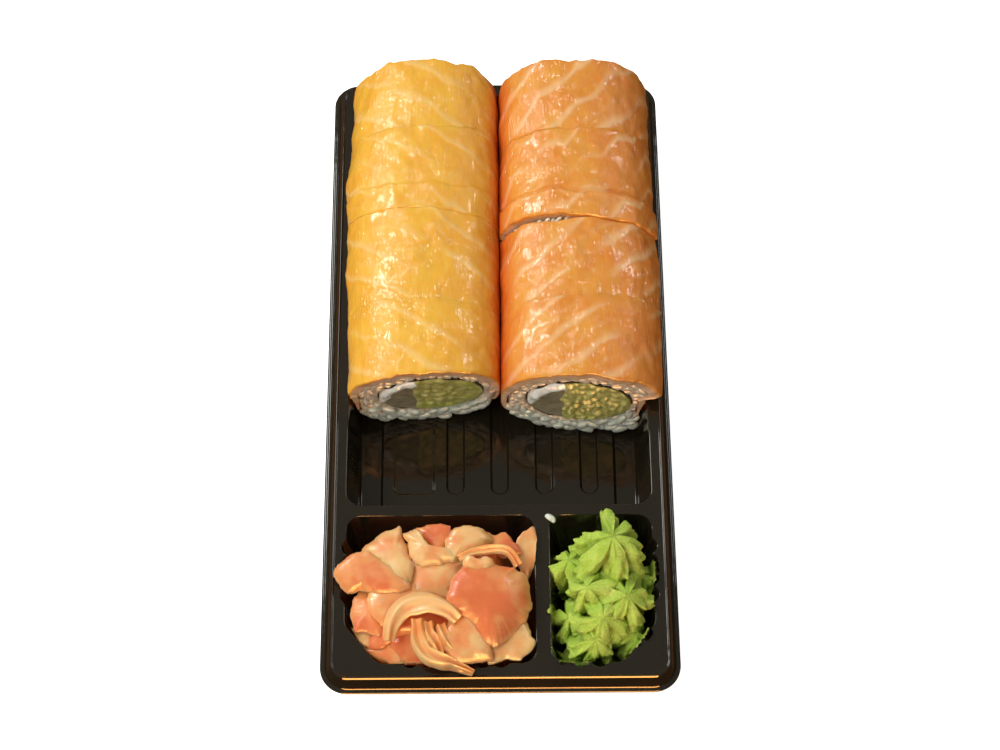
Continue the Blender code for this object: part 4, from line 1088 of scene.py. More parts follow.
def fill_outlines(piece, steps=40):
    """Outlines of the green, fish and cheese parts of the filling, side by side inside the seaweed."""
    half = NORI_HALF[piece.row][0]
    skin = NORI_THICK + 0.05
    left_of_green = (half - skin) * math.cos(math.radians(FILL_SPLIT)) - 0.1

    def start_angle(inset):
        return math.degrees(math.acos(left_of_green / (half - inset)))

    def arc(start, end, inset):
        return np.stack(nori_point(piece, np.linspace(start, end, steps + 1), inset), axis=-1)

    first = start_angle(skin)
    share = np.linspace(0.0, 1.0, steps + 1)
    thick = CHEESE_THICK + 1.0 * np.sin(math.pi * share)
    thick = thick + 0.5 * smooth_noise(share[:, None] * (1, 0) * 24, 3.0, 87)
    lower = np.stack(nori_point(piece, np.linspace(first, CHEESE_END, steps + 1), skin + thick), axis=-1)
    chord = arc(FILL_SPLIT, -FILL_SPLIT, skin)[[0, -1]]
    rise = np.linspace(0.0, 1.0, 31)[1:-1]
    ragged = chord[0] + (chord[1] - chord[0]) * rise[:, None]
    shift = 1.3 * smooth_noise(ragged, 3.2, 88) + 0.5 * smooth_noise(ragged, 1.2, 89) - 0.5
    ragged = ragged + np.stack([shift * np.sin(math.pi * rise), 0 * rise], axis=-1)
    green = np.concatenate([arc(-FILL_SPLIT, FILL_SPLIT, skin), ragged])
    cheese = (arc(first, CHEESE_END, skin), lower)
    fish_start = math.degrees(math.acos((left_of_green + 1.8) / (half - skin)))
    fish = arc(fish_start, 360 - fish_start, skin)
    return {"green": green, "cheese": cheese, "fish": fish}


def close_plug(piece, front_grid, border, far_y, material, name, node, values, lift):
    """Close a filling's shaped end with its sides and a plain far end, and add it as a piece."""
    points = front_grid
    loop = [points[i] for i in border]
    far = np.array([[p[0], far_y(p[0], p[2]), p[2]] for p in loop])
    start = len(points)
    count = len(border)
    faces = list(lift)
    faces += [(border[j], border[(j + 1) % count], start + (j + 1) % count, start + j) for j in range(count)]
    faces.append(list(range(start, start + count)))
    values = {key: np.concatenate([data, np.zeros(count)]) for key, data in values.items()}
    return add_piece(name, np.concatenate([points, far]), faces, material, [node], values, 70.0)


def chunky(spots, part, row):
    """How far a filling's cut face stands out, and how much of a crest a place is."""
    if part == "green":
        size = 2.4 if row == "right" else 3.0
        warped = spots + 1.1 * noise_pair(spots, 2.4, 90, 91)
        nearest, second = cell_noise(warped, size, 81)
        # dome is highest on the chunks' tops; as the crest value it places the green filling's painted
        # highlight.
        dome = ramp(second - nearest, 0.0, 0.7)
        stand = (0.75 if row == "right" else 0.3) * dome + 0.4 * smooth_noise(spots, 1.3, 82)
        return stand + 0.25 * smooth_noise(spots, 4.0, 86), dome
    if part == "cheese":
        lump = layered_noise(spots, 2.4, 83)
        return 0.9 * lump + 0.75, ramp(lump, -0.4, 0.5)
    return 0.25 * layered_noise(spots, 3.0, 84) - 0.2, np.full(spots.shape[:-1], 0.5)


def make_filling(piece, part, outline, material):
    """One part of the filling, with an uneven cut face on the end that shows."""
    at_back = piece.index != 0
    near, far = (piece.back, piece.front) if at_back else (piece.front, piece.back)
    out_way = 1.0 if at_back else -1.0
    if part == "cheese":
        outer, inner = outline
        shares = np.linspace(0, 1, 11)[:, None, None]
        spots = outer[None] + (inner - outer)[None] * shares
        rows, cols = spots.shape[:2]
        faces = grid_faces(rows, cols)
        border = grid_border(rows, cols)
        edge_share = np.minimum(shares[..., 0], 1 - shares[..., 0]) * 2 + np.zeros((rows, cols))
    else:
        middle = outline.mean(axis=0)
        dense = []
        for a, b in zip(outline, np.roll(outline, -1, axis=0)):
            parts = max(1, int(np.linalg.norm(b - a) / 0.6))
            dense += [a + (b - a) * i / parts for i in range(parts)]
        ring = np.array(dense)
        shares = np.linspace(1, 0.02, 26)[:, None, None]
        spots = middle + (ring[None] - middle) * shares
        rows, cols = spots.shape[:2]
        faces = grid_faces(rows, cols, 0, True)
        faces.append([(rows - 1) * cols + j for j in range(cols)])
        border = list(range(cols))
        edge_share = np.clip((1 - shares[..., 0]) * 6, 0, 1) + np.zeros((rows, cols))
    stand, crest = chunky(spots, part, piece.row)
    stand = stand * np.clip(edge_share + 0.35, 0, 1) - 0.2 * (1 - np.clip(edge_share, 0, 1))
    y = piece.cut_y(near, spots[..., 0], spots[..., 1]) + out_way * stand
    points = np.stack([spots[..., 0], y, spots[..., 1]], axis=-1).reshape(-1, 3)
    centre_x, centre_z = NORI_CENTRE[piece.row]
    side = ramp(spots[..., 0], centre_x + 4, centre_x + 12)
    low = ramp(spots[..., 1], centre_z - 4, centre_z - 9)
    fresh = np.clip(0.7 * side * smooth_noise(spots, 4.0, 85) + 0.8 * low, 0, 1)
    fresh = fresh * (1.0 if piece.row == "left" else 0.3)
    values = {"crest": crest.ravel(), "fresh": fresh.ravel()}
    return close_plug(piece, points, border, lambda x, z: piece.cut_y(far, x, z), material,
                      f"{part}_fill_{piece.label}", f"{part}_{piece.label}", values, faces)


def closed_sheet(top, under):
    """Points and faces of a closed thin sheet from two grids of points."""
    rows, cols = top.shape[:2]
    count = rows * cols
    faces = grid_faces(rows, cols)
    faces += [face[::-1] for face in grid_faces(rows, cols, count)]
    ring = grid_border(rows, cols)
    for a, b in zip(ring, ring[1:] + ring[:1]):
        faces.append((b, a, a + count, b + count))
    return np.concatenate([top.reshape(-1, 3), under.reshape(-1, 3)]), faces


# Ginger slices, low ones first: height, slopes along X and Y, dome, tone from cream 0 to pink 1, outline
GINGER_SLICES = (
    (20.5, 0.0, 0.0, 0.5, 0.85,
     ((-22.4, -52.5), (-17.3, -51.7), (-13.0, -52.9), (-13.4, -57.7), (-15.9, -59.3), (-18.8, -58.1),
      (-21.3, -55.3))),
    (20.5, 0.0, 0.0, 1.0, 0.75,
     ((-10.8, -52.5), (-6.1, -52.3), (-1.4, -54.9), (1.8, -54.7), (4.0, -56.9), (6.1, -60.1),
      (2.1, -61.7), (-3.3, -60.9), (-7.9, -56.9))),
    (18.5, 0.0, 0.3, 0.6, 0.45,
     ((7.6, -53.1), (9.4, -52.5), (9.8, -57.3), (9.5, -62.2), (7.5, -66.2), (4.9, -62.8), (4.6, -56.9))),
    (18.5, 0.1, 0.0, 1.5, 0.75,
     ((-39.1, -72.5), (-36.3, -69.6), (-32.7, -71.1), (-30.9, -77.1), (-31.1, -81.7), (-32.5, -84.0),
      (-35.8, -82.7), (-39.0, -81.7), (-40.0, -76.8))),
    (15.5, 0.1, 0.2, 1.2, 0.25,
     ((-39.3, -81.8), (-37.7, -80.2), (-34.8, -80.9), (-33.0, -83.2), (-34.8, -86.5), (-37.3, -84.7))),
    (17.0, 0.1, 0.1, 1.0, 0.7,
     ((-35.1, -83.9), (-33.7, -81.4), (-30.9, -79.7), (-28.6, -82.7), (-29.0, -85.4), (-32.6, -87.3),
      (-35.1, -86.5))),
    (15.5, 0.0, 0.25, 1.2, 0.5,
     ((-35.8, -86.8), (-32.6, -84.6), (-29.4, -83.7), (-26.3, -86.2), (-25.0, -90.9), (-28.7, -91.0),
      (-31.9, -90.7), (-34.4, -88.7))),
    (17.0, 0.0, 0.25, 1.5, 0.75,
     ((-29.5, -85.1), (-26.5, -82.2), (-23.3, -81.0), (-20.2, -83.9), (-18.6, -87.9), (-17.8, -91.9),
      (-21.6, -91.9), (-24.4, -91.9), (-27.0, -89.7))),
    (21.3, 0.0, 0.0, 1.2, 0.45,
     ((-34.9, -72.0), (-28.7, -70.2), (-23.0, -69.0), (-20.7, -72.8), (-25.5, -76.2), (-27.9, -79.3),
      (-31.7, -81.6), (-34.8, -77.5), (-35.8, -74.0))),
    (21.0, 0.0, 0.0, 1.8, 0.55,
     ((-24.7, -62.2), (-19.4, -62.0), (-14.8, -61.2), (-10.3, -60.6), (-8.4, -63.6), (-10.3, -68.1),
      (-12.7, -73.3), (-17.2, -76.2), (-22.7, -74.9), (-25.1, -68.7))),
    (19.5, 0.0, 0.1, 1.4, 0.1,
     ((-2.9, -86.5), (0.1, -84.6), (3.0, -82.1), (6.2, -79.1), (8.3, -83.1), (9.2, -86.4),
      (8.2, -88.6), (5.0, -91.4), (1.8, -91.2), (-2.8, -92.1), (-4.0, -89.7))),
    (22.6, 0.0, 0.15, 1.3, 0.5,
     ((-14.5, -86.0), (-13.4, -81.0), (-9.4, -79.4), (-5.6, -84.1), (-3.0, -87.8), (-2.1, -91.2),
      (-5.6, -92.7), (-10.1, -93.2), (-12.6, -92.1), (-14.3, -89.6))),
    (24.2, 0.0, 0.0, 0.3, 0.12,
     ((-25.7, -55.4), (-23.0, -53.9), (-21.5, -54.7), (-20.5, -57.2), (-18.3, -59.6), (-14.7, -60.8),
      (-12.4, -61.4), (-12.0, -63.3), (-15.8, -64.9), (-20.4, -65.5), (-22.9, -64.1), (-24.0, -61.9),
      (-24.6, -58.4))),
    (24.0, -0.05, -0.05, 0.9, 0.3,
     ((-14.5, -58.8), (-13.3, -55.5), (-10.0, -53.7), (-5.7, -54.2), (-2.1, -56.0), (-1.8, -57.9),
      (-6.5, -61.2), (-10.8, -63.6), (-13.3, -63.9), (-14.9, -61.7))),
    (25.9, 0.0, 0.0, 0.4, 0.0,
     ((-10.2, -66.6), (-8.8, -63.8), (-5.8, -64.8), (-2.9, -64.3), (-1.4, -66.6), (-4.3, -68.4),
      (-7.5, -68.4))),
    (25.4, -0.1, 0.1, 1.4, 0.76,
     ((-13.9, -74.6), (-12.9, -70.8), (-10.4, -67.9), (-6.5, -66.8), (-1.5, -66.3), (3.1, -66.3),
      (6.5, -67.7), (7.9, -70.6), (8.4, -75.1), (7.6, -79.6), (5.8, -82.3), (2.9, -85.3), (0.8, -87.6),
      (-1.7, -88.9), (-3.8, -87.7), (-5.9, -83.9), (-8.7, -81.8), (-12.2, -79.7), (-14.0, -76.8))),
    (23.2, 0.1, 0.0, 0.9, 0.25,
     ((-37.0, -59.6), (-33.8, -56.8), (-30.2, -54.4), (-27.0, -53.3), (-25.5, -56.6), (-24.4, -61.1),
      (-23.2, -65.7), (-23.5, -70.0), (-24.5, -71.7), (-27.5, -69.8), (-30.8, -66.1), (-35.2, -63.1))),
    (22.6, 0.1, 0.05, 0.8, 0.66,
     ((-44.5, -67.4), (-43.7, -64.7), (-41.3, -62.5), (-38.8, -61.2), (-35.2, -61.0), (-30.1, -63.1),
      (-25.8, -66.0), (-23.9, -69.7), (-24.4, -72.4), (-28.9, -73.3), (-33.6, -72.7), (-37.6, -71.5),
      (-41.0, -71.9), (-43.0, -70.1))),
)
# Ginger strips: half widths at the start, middle and end, fold, tone, points of the middle line
GINGER_STRIPS = (
    ((1.4, 3.3, 1.8), 0.5, 0.0,
     ((-29.5, -87.2, 22.8), (-28.6, -82.4, 24.2), (-25.2, -78.3, 25.8), (-19.5, -77.4, 26.8),
      (-14.3, -79.4, 26.4), (-10.9, -82.0, 25.2))),
    ((1.0, 1.5, 1.3), 0.4, 0.3,
     ((-11.0, -64.3, 25.6), (-6.6, -62.4, 26.2), (-1.6, -61.6, 26.4), (2.6, -62.6, 26.0),
      (5.4, -66.0, 24.6))),
    ((2.0, 2.6, 0.7), 0.9, 0.2,
     ((-21.7, -81.7, 24.6), (-21.4, -86.0, 23.4), (-19.6, -90.0, 22.4), (-16.1, -92.0, 21.8),
      (-12.3, -93.1, 21.2), (-7.0, -95.3, 20.4))),
    ((1.4, 1.9, 1.2), 0.8, 0.22,
     ((-19.0, -82.3, 24.2), (-18.7, -85.1, 23.4), (-17.2, -87.7, 22.6), (-15.8, -90.6, 21.4))),
    ((1.4, 2.0, 1.2), 0.8, 0.32,
     ((-15.8, -83.0, 24.2), (-14.8, -86.0, 23.8), (-13.0, -88.9, 22.8), (-10.6, -92.0, 21.2))),
)
GINGER_THICK = 1.1
GINGER_DROOP = 0.2
GINGER_WAVE = 0.3
GINGER_WAVE_LENGTH = 2.6
GINGER_BEND = 1.3
GINGER_REST = 0.1
GINGER_CORE_TOP = 21.0
GINGER_SETTLE = 0.3
GINGER_SHOULDER = 0.68
WASABI_SHOULDER = 0.45


def smooth_curve(points, steps, closed):
    """Points of a smooth curve through points, with steps to each span."""
    points = np.asarray(points, float)
    count = len(points)
    rows = []
    pull = 0.45 if closed else 1.0
    for i in range(count if closed else count - 1):
        if closed:
            a, b, c, d = (points[(i + k) % count] for k in (-1, 0, 1, 2))
        else:
            a, b, c, d = (points[min(max(i + k, 0), count - 1)] for k in (-1, 0, 1, 2))
        for t in np.arange(steps) / steps:
            lead, trail = pull * (c - a) / 2, pull * (d - b) / 2
            rows.append((2 * t ** 3 - 3 * t ** 2 + 1) * b + (t ** 3 - 2 * t ** 2 + t) * lead
                        + (3 * t ** 2 - 2 * t ** 3) * c + (t ** 3 - t ** 2) * trail)
    if not closed:
        rows.append(points[-1])
    return np.array(rows)


def ginger_slice(pockets, size, number):
    """A thin slice over its outline, with settled edges and folds: points, faces and values."""
    height, slope_x, slope_y, dome, tone, outline = size
    ring = smooth_curve(outline, 7, True)
    middle = ring.mean(axis=0)
    ring = ring + 0.5 * noise_pair(ring, 1.7, 91, 92)
    ring = ring + 0.22 * noise_pair(ring, 0.6, 99, 100)
    shares = np.concatenate([[1.0, 0.97, 0.92], np.linspace(0.86, 0.03, 19)])[:, None]
    spots = middle + (ring[None] - middle) * shares[..., None]
    x, y = spots[..., 0], spots[..., 1]
    reach = shares + 0 * x
    apart = spots + number * 13.7
    heading = math.radians(47 * number)
    across = (x * math.cos(heading) + y * math.sin(heading)) / GINGER_WAVE_LENGTH
    wave = np.sin(across + 1.6 * smooth_noise(apart, 5.0, 97))
    z = height + slope_x * (x - middle[0]) + slope_y * (y - middle[1]) + 0.5 * dome * (1 - reach ** 2)
    z = z - GINGER_SETTLE * max(height - GINGER_CORE_TOP + 1.0, 0.0) * reach ** 4
    z = z - GINGER_DROOP * ramp(reach, 0.8, 1.0) + GINGER_WAVE * wave * reach
    z = z + GINGER_BEND * smooth_noise(apart, 8.0, 93) * reach ** 2 + 0.06 * smooth_noise(apart, 1.8, 94)
    thick = GINGER_THICK * (0.6 + 0.4 * ramp(reach, 1.0, 0.95))
    least = tray_height(pockets, spots)
    tops = np.maximum(z + thick / 2, least + GINGER_REST + GINGER_THICK)
    unders = np.maximum(z - thick / 2, least + GINGER_REST)
    rows, cols = x.shape
    faces = grid_faces(rows, cols, 0, True) + grid_faces(rows, cols, rows * cols, True)
    faces += [(j, (j + 1) % cols, (j + 1) % cols + rows * cols, j + rows * cols) for j in range(cols)]
    for start in ((rows - 1) * cols, (2 * rows - 1) * cols):
        faces.append([start + j for j in range(cols)])
    points = np.concatenate([np.stack([x, y, level], axis=-1).reshape(-1, 3) for level in (tops, unders)])
    tones = tone + 0.5 * smooth_noise(apart, 6.5, 95) + 0.2 * smooth_noise(apart, 2.2, 96)
    # Painted highlight along the slice's rim.
    rims = ramp(reach, 0.93, 1.0)
    flat = np.stack([x + number * 31, y, 0 * x], axis=-1).reshape(-1, 3)
    return points, faces, np.tile(tones.ravel(), 2), np.tile(rims.ravel(), 2), np.concatenate([flat, flat])


def ginger_strip(pockets, size, number):
    """A folded strip along a bent line: points, faces and per-point values."""
    halves, fold, tone, line = size
    middle = smooth_curve(line, 9, False)
    rows, cols = len(middle), 15
    along = np.gradient(middle, axis=0)
    side = np.cross(along, (0.0, 0.0, 1.0))
    side /= np.linalg.norm(side, axis=-1, keepdims=True)
    up = np.cross(side, along)
    up /= np.linalg.norm(up, axis=-1, keepdims=True)
    share = np.linspace(0, 1, rows)[:, None] + np.zeros((rows, cols))
    across = np.linspace(-1, 1, cols)[None] + np.zeros((rows, cols))
    half = np.interp(share, (0.0, 0.5, 1.0), halves) * (1 + 0.2 * smooth_noise(
        np.stack([share * 20, 0 * share + number * 7], axis=-1), 3.0, 98))
    height = fold * (np.cos(across * 5.0 + number + 2 * share) - 0.4) - 1.1 * across ** 4
    height = height + 0.35 * np.sin(share * 9 + number)
    base = middle[:, None] + side[:, None] * (across * half)[..., None]
    grids = []
    for push, rest in ((0.5, GINGER_THICK), (-0.5, GINGER_REST)):
        grid = base + up[:, None] * (height + push * (1.1 - 0.5 * across ** 2))[..., None]
        least = tray_height(pockets, grid[..., :2]) + rest
        grid[..., 2] = np.maximum(grid[..., 2], least)
        grids.append(grid)
    mesh_points, faces = closed_sheet(*grids)
    tones = tone + 0.16 * np.sin(across * 5.0 + number) + 0.12 * share
    flat = np.stack([share * 20 + number * 40, across * 3, 0 * share], axis=-1).reshape(-1, 3)
    # Painted highlight along the strip's edges.
    rims = ramp(np.abs(across), 0.75, 1.0)
    return mesh_points, faces, np.tile(tones.ravel(), 2), np.tile(rims.ravel(), 2), np.concatenate([flat, flat])


def pocket_mound(pocket, top, lump, steps_round, rings, seed, shoulder):
    """A lumpy mound in a pocket, at full height within the shoulder's share: points and faces."""
    corners = pocket["corners"]
    middle = sum(corners, Vector((0, 0))) / len(corners)
    angles = np.linspace(0, 2 * math.pi, steps_round, endpoint=False)
    ways = np.stack([np.cos(angles), np.sin(angles)], axis=-1)
    reaches = np.linspace(0, 60, 1200)
    edge = []
    for way in ways:
        spots = np.array(middle) + way * reaches[:, None]
        inside = wall_distance(pocket, spots) > WALL_PROFILE[-1][0]
        edge.append(reaches[inside][-1])
    edge = np.array(edge)
    rows = []
    for share in np.linspace(1, 0.02, rings):
        spots = np.array(middle) + ways * (edge * share)[:, None]
        rise = float(ramp(share, 1.0, shoulder)) ** 0.7
        z = FLOOR_Z + GAP + (top - FLOOR_Z) * rise
        z = z + lump * smooth_noise(spots, 6.0, seed) * rise
        z = z + 0.4 * lump * smooth_noise(spots, 2.4, seed + 1) * rise
        rows.append(np.concatenate([spots, z[:, None]], axis=-1))
    base = rows[0].copy()
    base[:, 2] = FLOOR_Z + 0.05
    rows.insert(0, base)
    return np.concatenate(rows), capped_tube(len(rows), steps_round)


def make_ginger(pockets, material):
    """The heap of pickled ginger: a low core, bent slices and folded strips."""
    points, faces = pocket_mound(pockets["ginger"], GINGER_CORE_TOP, 1.6, 90, 26, 101, GINGER_SHOULDER)
    parts = [(points, faces, np.full(len(points), 0.85), np.zeros(len(points)), points.copy())]
    parts += [ginger_slice(pockets, size, number) for number, size in enumerate(GINGER_SLICES)]
    parts += [ginger_strip(pockets, size, number) for number, size in enumerate(GINGER_STRIPS)]
    points, faces, (tone, rim, flat) = join_parts(parts)
    values = {"tone": tone, "rim": rim, "flat_place": flat}
    return add_piece("ginger_heap", points, faces, material, ["ginger"], values, 60.0)


# Piped stars: foot, tip, widest radius, tip radius, fins, turn
WASABI_STARS = (
    ((30.0, -62.5, 5.0), (30.2, -60.6, 30.6), 11.2, 1.2, 6, 20),
    ((27.0, -72.0, 6.0), (23.2, -73.6, 25.8), 8.6, 1.4, 5, 60),
    ((31.0, -73.0, 8.0), (34.0, -75.6, 25.2), 9.2, 1.3, 6, -30),
    ((26.0, -76.0, 6.0), (27.2, -81.4, 24.0), 8.0, 1.2, 5, 10),
    ((25.4, -80.0, 5.0), (25.4, -86.4, 20.6), 8.0, 1.2, 6, 40),
    ((22.0, -64.0, 4.0), (18.8, -63.4, 21.6), 6.4, 1.2, 5, 15),
    ((33.0, -80.0, 4.0), (36.0, -83.2, 17.2), 6.0, 1.1, 5, 50),
    ((37.0, -66.0, 3.0), (37.4, -66.0, 18.0), 5.6, 1.2, 5, 80),
    ((19.6, -76.0, 2.0), (18.6, -77.6, 16.0), 5.4, 1.2, 5, 30),
    ((19.0, -88.0, 1.5), (18.6, -87.8, 10.5), 5.2, 1.6, 5, 0),
)
WASABI_BED_TOP = 9.0
STAR_AROUND = 196
STAR_ROWS = 46


def piped_star(pockets, size, number):
    """A piped star with thin ruffled fins and a grainy face: points, faces and crest values, which are low in
    the folds and low down, where the paste is given painted shade.
    """
    foot, tip, radius, tip_radius, fins, twist = size
    foot, tip = Vector(foot), Vector(tip)
    axis = (tip - foot).normalized()
    side = axis.cross(Vector((0, 1, 0))).normalized()
    other = axis.cross(side)
    round_steps = np.arange(STAR_AROUND) * 360 / STAR_AROUND
    share, degrees = np.meshgrid(np.linspace(0, 1, STAR_ROWS), round_steps, indexing="ij")
    swell = np.interp(share, (0.0, 0.3, 0.6, 0.8, 0.9, 0.96, 1.0), (0.8, 0.96, 1.0, 0.98, 0.86, 0.6, 0.0))
    ring = tip_radius + (radius - tip_radius) * swell
    circle = np.radians(degrees)
    bend = np.stack([3 * np.cos(circle) + number * 9, 3 * np.sin(circle), share * 6.0], axis=-1)
    turn = (degrees + 19 * smooth_noise(bend, 2.4, 111) + 9 * smooth_noise(bend, 0.8, 115)) * fins / 360
    fin = np.floor(turn + 0.5)
    blade = ramp(np.abs(turn - fin), 0.47, 0.16)
    own = 0.92 + 0.24 * smooth_noise(np.stack([(fin % fins) * 5.3 + number, 0 * fin], axis=-1), 1.0, 116)
    valley = 0.42 + 0.08 * np.sin(share * 11 + number)
    reach = ring * (valley + (own - valley) * blade)
    turned = np.radians(degrees + twist * (1 + share))
    way = np.cos(turned)[..., None] * np.array(side) + np.sin(turned)[..., None] * np.array(other)
    droop = 0.25 * reach * blade
    centre = np.array(foot) + (np.array(tip) - np.array(foot)) * share[..., None]
    spots = centre + way * reach[..., None] - np.array(axis) * droop[..., None]
    ruffle = smooth_noise(spots, 2.4, 112 + number) * 1.3 + smooth_noise(spots, 1.2, 113) * 1.0
    grain = smooth_noise(spots, 0.65, 114) * 0.4
    swelling = (ruffle * (0.25 + 0.75 * blade) + grain) * ramp(share, 1.02, 0.9)
    spots = spots + way * swelling[..., None] + np.array(axis) * (ruffle * 0.4 * blade)[..., None]
    least = tray_height(pockets, spots[..., :2]) + 0.25
    spots[..., 2] = np.maximum(spots[..., 2], least)
    # The crest value falls in the folds and low down; the material paints shade there.
    high = ramp(spots[..., 2], 4.0, 17.0)
    crest = np.clip((blade * 0.8 + 0.3 * share + 0.2 * ruffle) * (0.35 + 0.65 * high), 0, 1)
    return spots.reshape(-1, 3), capped_tube(STAR_ROWS, STAR_AROUND), crest.ravel()


def make_wasabi(pockets, material):
    """The piped wasabi: a lumpy bed and the stars."""
    points, faces = pocket_mound(pockets["wasabi"], WASABI_BED_TOP, 2.2, 120, 30, 121, WASABI_SHOULDER)
    # The bed gets a low crest value, so it is painted in shade.
    parts = [(points, faces, np.full(len(points), 0.15))]
    parts += [piped_star(pockets, size, number) for number, size in enumerate(WASABI_STARS)]
    points, faces, (crest,) = join_parts(parts)
    return add_piece("wasabi_piped", points, faces, material, ["wasabi"], {"crest": crest}, 80.0)


STRAY_GRAIN = (13.9, -49.6)
STRAY_GRAIN_RISE = 0.8
STRAY_GRAIN_TURN = math.radians(-40)
STRAY_GRAIN_SIZE = 0.74
GAP_GRAIN_DEGREES = (96, 104, 108, 113, 119, 124, 133, 144)


def make_stray_grain(material):
    """The grain of rice on the bridge between the pockets."""
    along = (math.cos(STRAY_GRAIN_TURN), math.sin(STRAY_GRAIN_TURN), 0.0)
    place = ((*STRAY_GRAIN, FLANGE_Z + STRAY_GRAIN_RISE), along, (0, 0, 1), STRAY_GRAIN_SIZE, 0.0)
    points, faces, pink = scatter_grains([place], 5)
    return add_piece("stray_grain", points, faces, material, ["stray_rice"], {"pink": pink}, 70.0)


def make_gap_grains(piece, material):
    """Grains that show in the open cut of the right roll."""
    draw = random.Random(17)
    places = []
    for degrees in GAP_GRAIN_DEGREES:
        x, z = piece.section(degrees + draw.uniform(-1, 1), draw.uniform(1.3, 2.4), 1.0)
        x, z = float(x), float(z)
        y = float(piece.cut_y(piece.back, x, z)) + draw.uniform(-0.5, 0.3)
        around = math.radians(degrees + 90 + draw.uniform(-50, 50))
        along = (math.cos(around), draw.uniform(-0.8, 0.8), math.sin(around))
        places.append(((x, y, z), along, (0, 1, 0.4), draw.uniform(0.5, 0.75), draw.uniform(0.1, 0.6)))
    points, faces, pink = scatter_grains(places, 18)
    return add_piece("gap_grains", points, faces, material, (), {"pink": pink}, 70.0)


def make_rolls(materials):
    """Both rolls. The ends' layers are replaced by fine ones; the hidden ones stay and get materials."""
    for row in ROLL_CUTS:
        for index in range(len(ROLL_OUTER[row])):
            piece = Piece(row, index)
            make_salmon(piece, materials["salmon_" + row])
            make_rice(piece, materials["rice"])
            if index in (0, len(ROLL_OUTER[row]) - 1):
                make_nori(piece, materials["nori"])
                for part, outline in fill_outlines(piece).items():
                    make_filling(piece, part, outline, materials[part])
            else:
                for part in ("nori", "green", "cheese", "fish"):
                    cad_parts[f"{part}_{piece.label}"].data.materials[0] = materials[part]
    make_gap_grains(Piece("right", 1), materials["rice"])


def make_stage():
    """Pale floor under the tray."""
    mesh = bpy.data.meshes.new("floor")
    half = 3.0
    corners = [(-half, -half, 0), (half, -half, 0), (half, half, 0), (-half, half, 0)]
    mesh.from_pydata(corners, [], [(0, 1, 2, 3)])
    g = Graph("floor_white")
    speckle = g.noise(g.place(), 0.02, 2.0)
    colour = g.blend(speckle, (0.90, 0.90, 0.90), (0.92, 0.92, 0.92))
    mesh.materials.append(g.finish(Base_Color=colour, Roughness=0.9, Emission_Color=(1, 1, 1),
                                   Emission_Strength=0.9))
    floor = bpy.data.objects.new("floor", mesh)
    floor.location.z = -0.0003
    floor.visible_diffuse = False
    floor.visible_glossy = False
    bpy.context.scene.collection.objects.link(floor)


TRAY_MIDDLE = (0.0, 0.0, 0.02)
WINDOW_PLACE = (-0.56, 0.5, 0.70)
# Lights: name, place, target, size, power, colour, whether it is diffuse, whether it is glossy
LIGHTS = (
    ("window", WINDOW_PLACE, TRAY_MIDDLE, (0.30, 0.30), 3.8, (1.0, 0.98, 0.94), True, True),
    ("sky", (-0.50, -0.15, 0.80), TRAY_MIDDLE, (0.7, 0.7), 4.6, (1.0, 0.98, 0.93), True, False),
    ("front_fill", (-0.10, -0.80, 0.40), TRAY_MIDDLE, (0.5, 0.4), 1.3, (1.0, 0.93, 0.84), True, False),
    ("sun_patch", WINDOW_PLACE, TRAY_MIDDLE, (0.12, 0.12), 2.6, (1.0, 0.98, 0.92), False, True),
    ("glint", (0.56, 0.5, 0.70), TRAY_MIDDLE, (0.10, 0.30), 1.3, (0.96, 0.97, 1.0), False, True),
    ("glow", (0.0, -0.62, 0.10), (0.0, -0.09, 0.015), (0.55, 0.26), 18.0, (1.0, 0.40, 0.09), False, True),
    ("lamp", (0.0, -0.72, 0.42), (0.0, -0.05, 0.015), (0.5, 0.12), 8.0, (1.0, 0.48, 0.14), False, True),
)


def add_light(name, place, target, size, power, colour, diffuse, glossy):
    """Area light aimed at a target. Place, target and sizes are in metres."""
    data = bpy.data.lights.new(name, "AREA")
    data.shape = "RECTANGLE"
    data.size, data.size_y = size
    data.energy = power
    data.color = colour
    light = bpy.data.objects.new(name, data)
    light.location = place
    back = (Vector(place) - Vector(target)).normalized()
    across = Vector((0, 1, 0)).cross(back).normalized()
    light.rotation_euler = Matrix((across, back.cross(across), back)).transposed().to_euler()
    light.visible_diffuse = diffuse
    light.visible_glossy = glossy
    light.visible_transmission = diffuse
    bpy.context.scene.collection.objects.link(light)


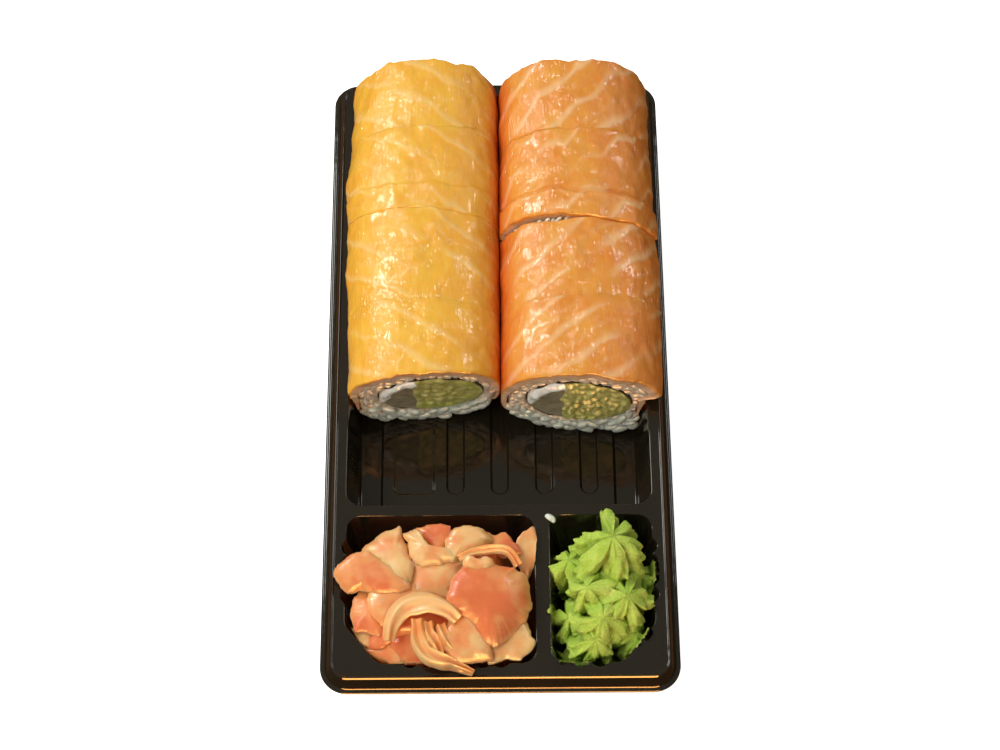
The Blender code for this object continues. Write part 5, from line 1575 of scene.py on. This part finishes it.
def make_lights():
    """A beige room over a brown table, a window behind on the left and its glints round the tray."""
    world = bpy.data.worlds.new("room")
    world.use_nodes = True
    tree = world.node_tree
    background = tree.nodes["Background"]
    way = tree.nodes.new("ShaderNodeTexCoord")
    parts = tree.nodes.new("ShaderNodeSeparateXYZ")
    tree.links.new(way.outputs["Generated"], parts.inputs[0])
    shades = tree.nodes.new("ShaderNodeValToRGB")
    tree.links.new(parts.outputs["Z"], shades.inputs[0])
    low, high = shades.color_ramp.elements
    low.position, low.color = 0.0, (0.20, 0.085, 0.028, 1.0)
    high.position, high.color = 0.16, (0.32, 0.30, 0.24, 1.0)
    tree.links.new(shades.outputs[0], background.inputs["Color"])
    background.inputs["Strength"].default_value = 1.0
    bpy.context.scene.world = world
    for light in LIGHTS:
        add_light(*light)


# Camera of the photograph, in metres and degrees
CAMERA_PLACE = (-0.00245, -0.3807, 0.6711)
CAMERA_TURN = (30.0, 0.0, -0.466)
CAMERA_LENS = 96.55
CAMERA_SENSOR = 36.0


def make_camera():
    """Camera at the photograph's viewing angle."""
    data = bpy.data.cameras.new("camera")
    data.lens = CAMERA_LENS
    data.sensor_width = CAMERA_SENSOR
    camera = bpy.data.objects.new("camera", data)
    camera.location = CAMERA_PLACE
    camera.rotation_euler = [math.radians(angle) for angle in CAMERA_TURN]
    bpy.context.scene.collection.objects.link(camera)
    bpy.context.scene.camera = camera
    bpy.context.scene.view_settings.view_transform = "Standard"


materials = {
    "tray": tray_material(),
    "salmon_left": salmon_material("salmon_yellow", (0.89, 0.53, 0.052), (0.85, 0.33, 0.014),
                                   (0.93, 0.65, 0.27), -1),
    "salmon_right": salmon_material("salmon_orange", (0.81, 0.385, 0.05), (0.72, 0.155, 0.012),
                                    (0.88, 0.54, 0.27), 1),
    "rice": rice_material(),
    "nori": nori_material(),
    "cheese": cheese_material(),
    "fish": fish_material(),
    "green": green_material(),
    "ginger": ginger_material(),
    "wasabi": wasabi_material(),
}
make_camera()
make_lights()
make_stage()
pockets = make_pockets()
make_tray(pockets, materials["tray"])
make_rolls(materials)
make_ginger(pockets, materials["ginger"])
make_wasabi(pockets, materials["wasabi"])
make_stray_grain(materials["rice"])
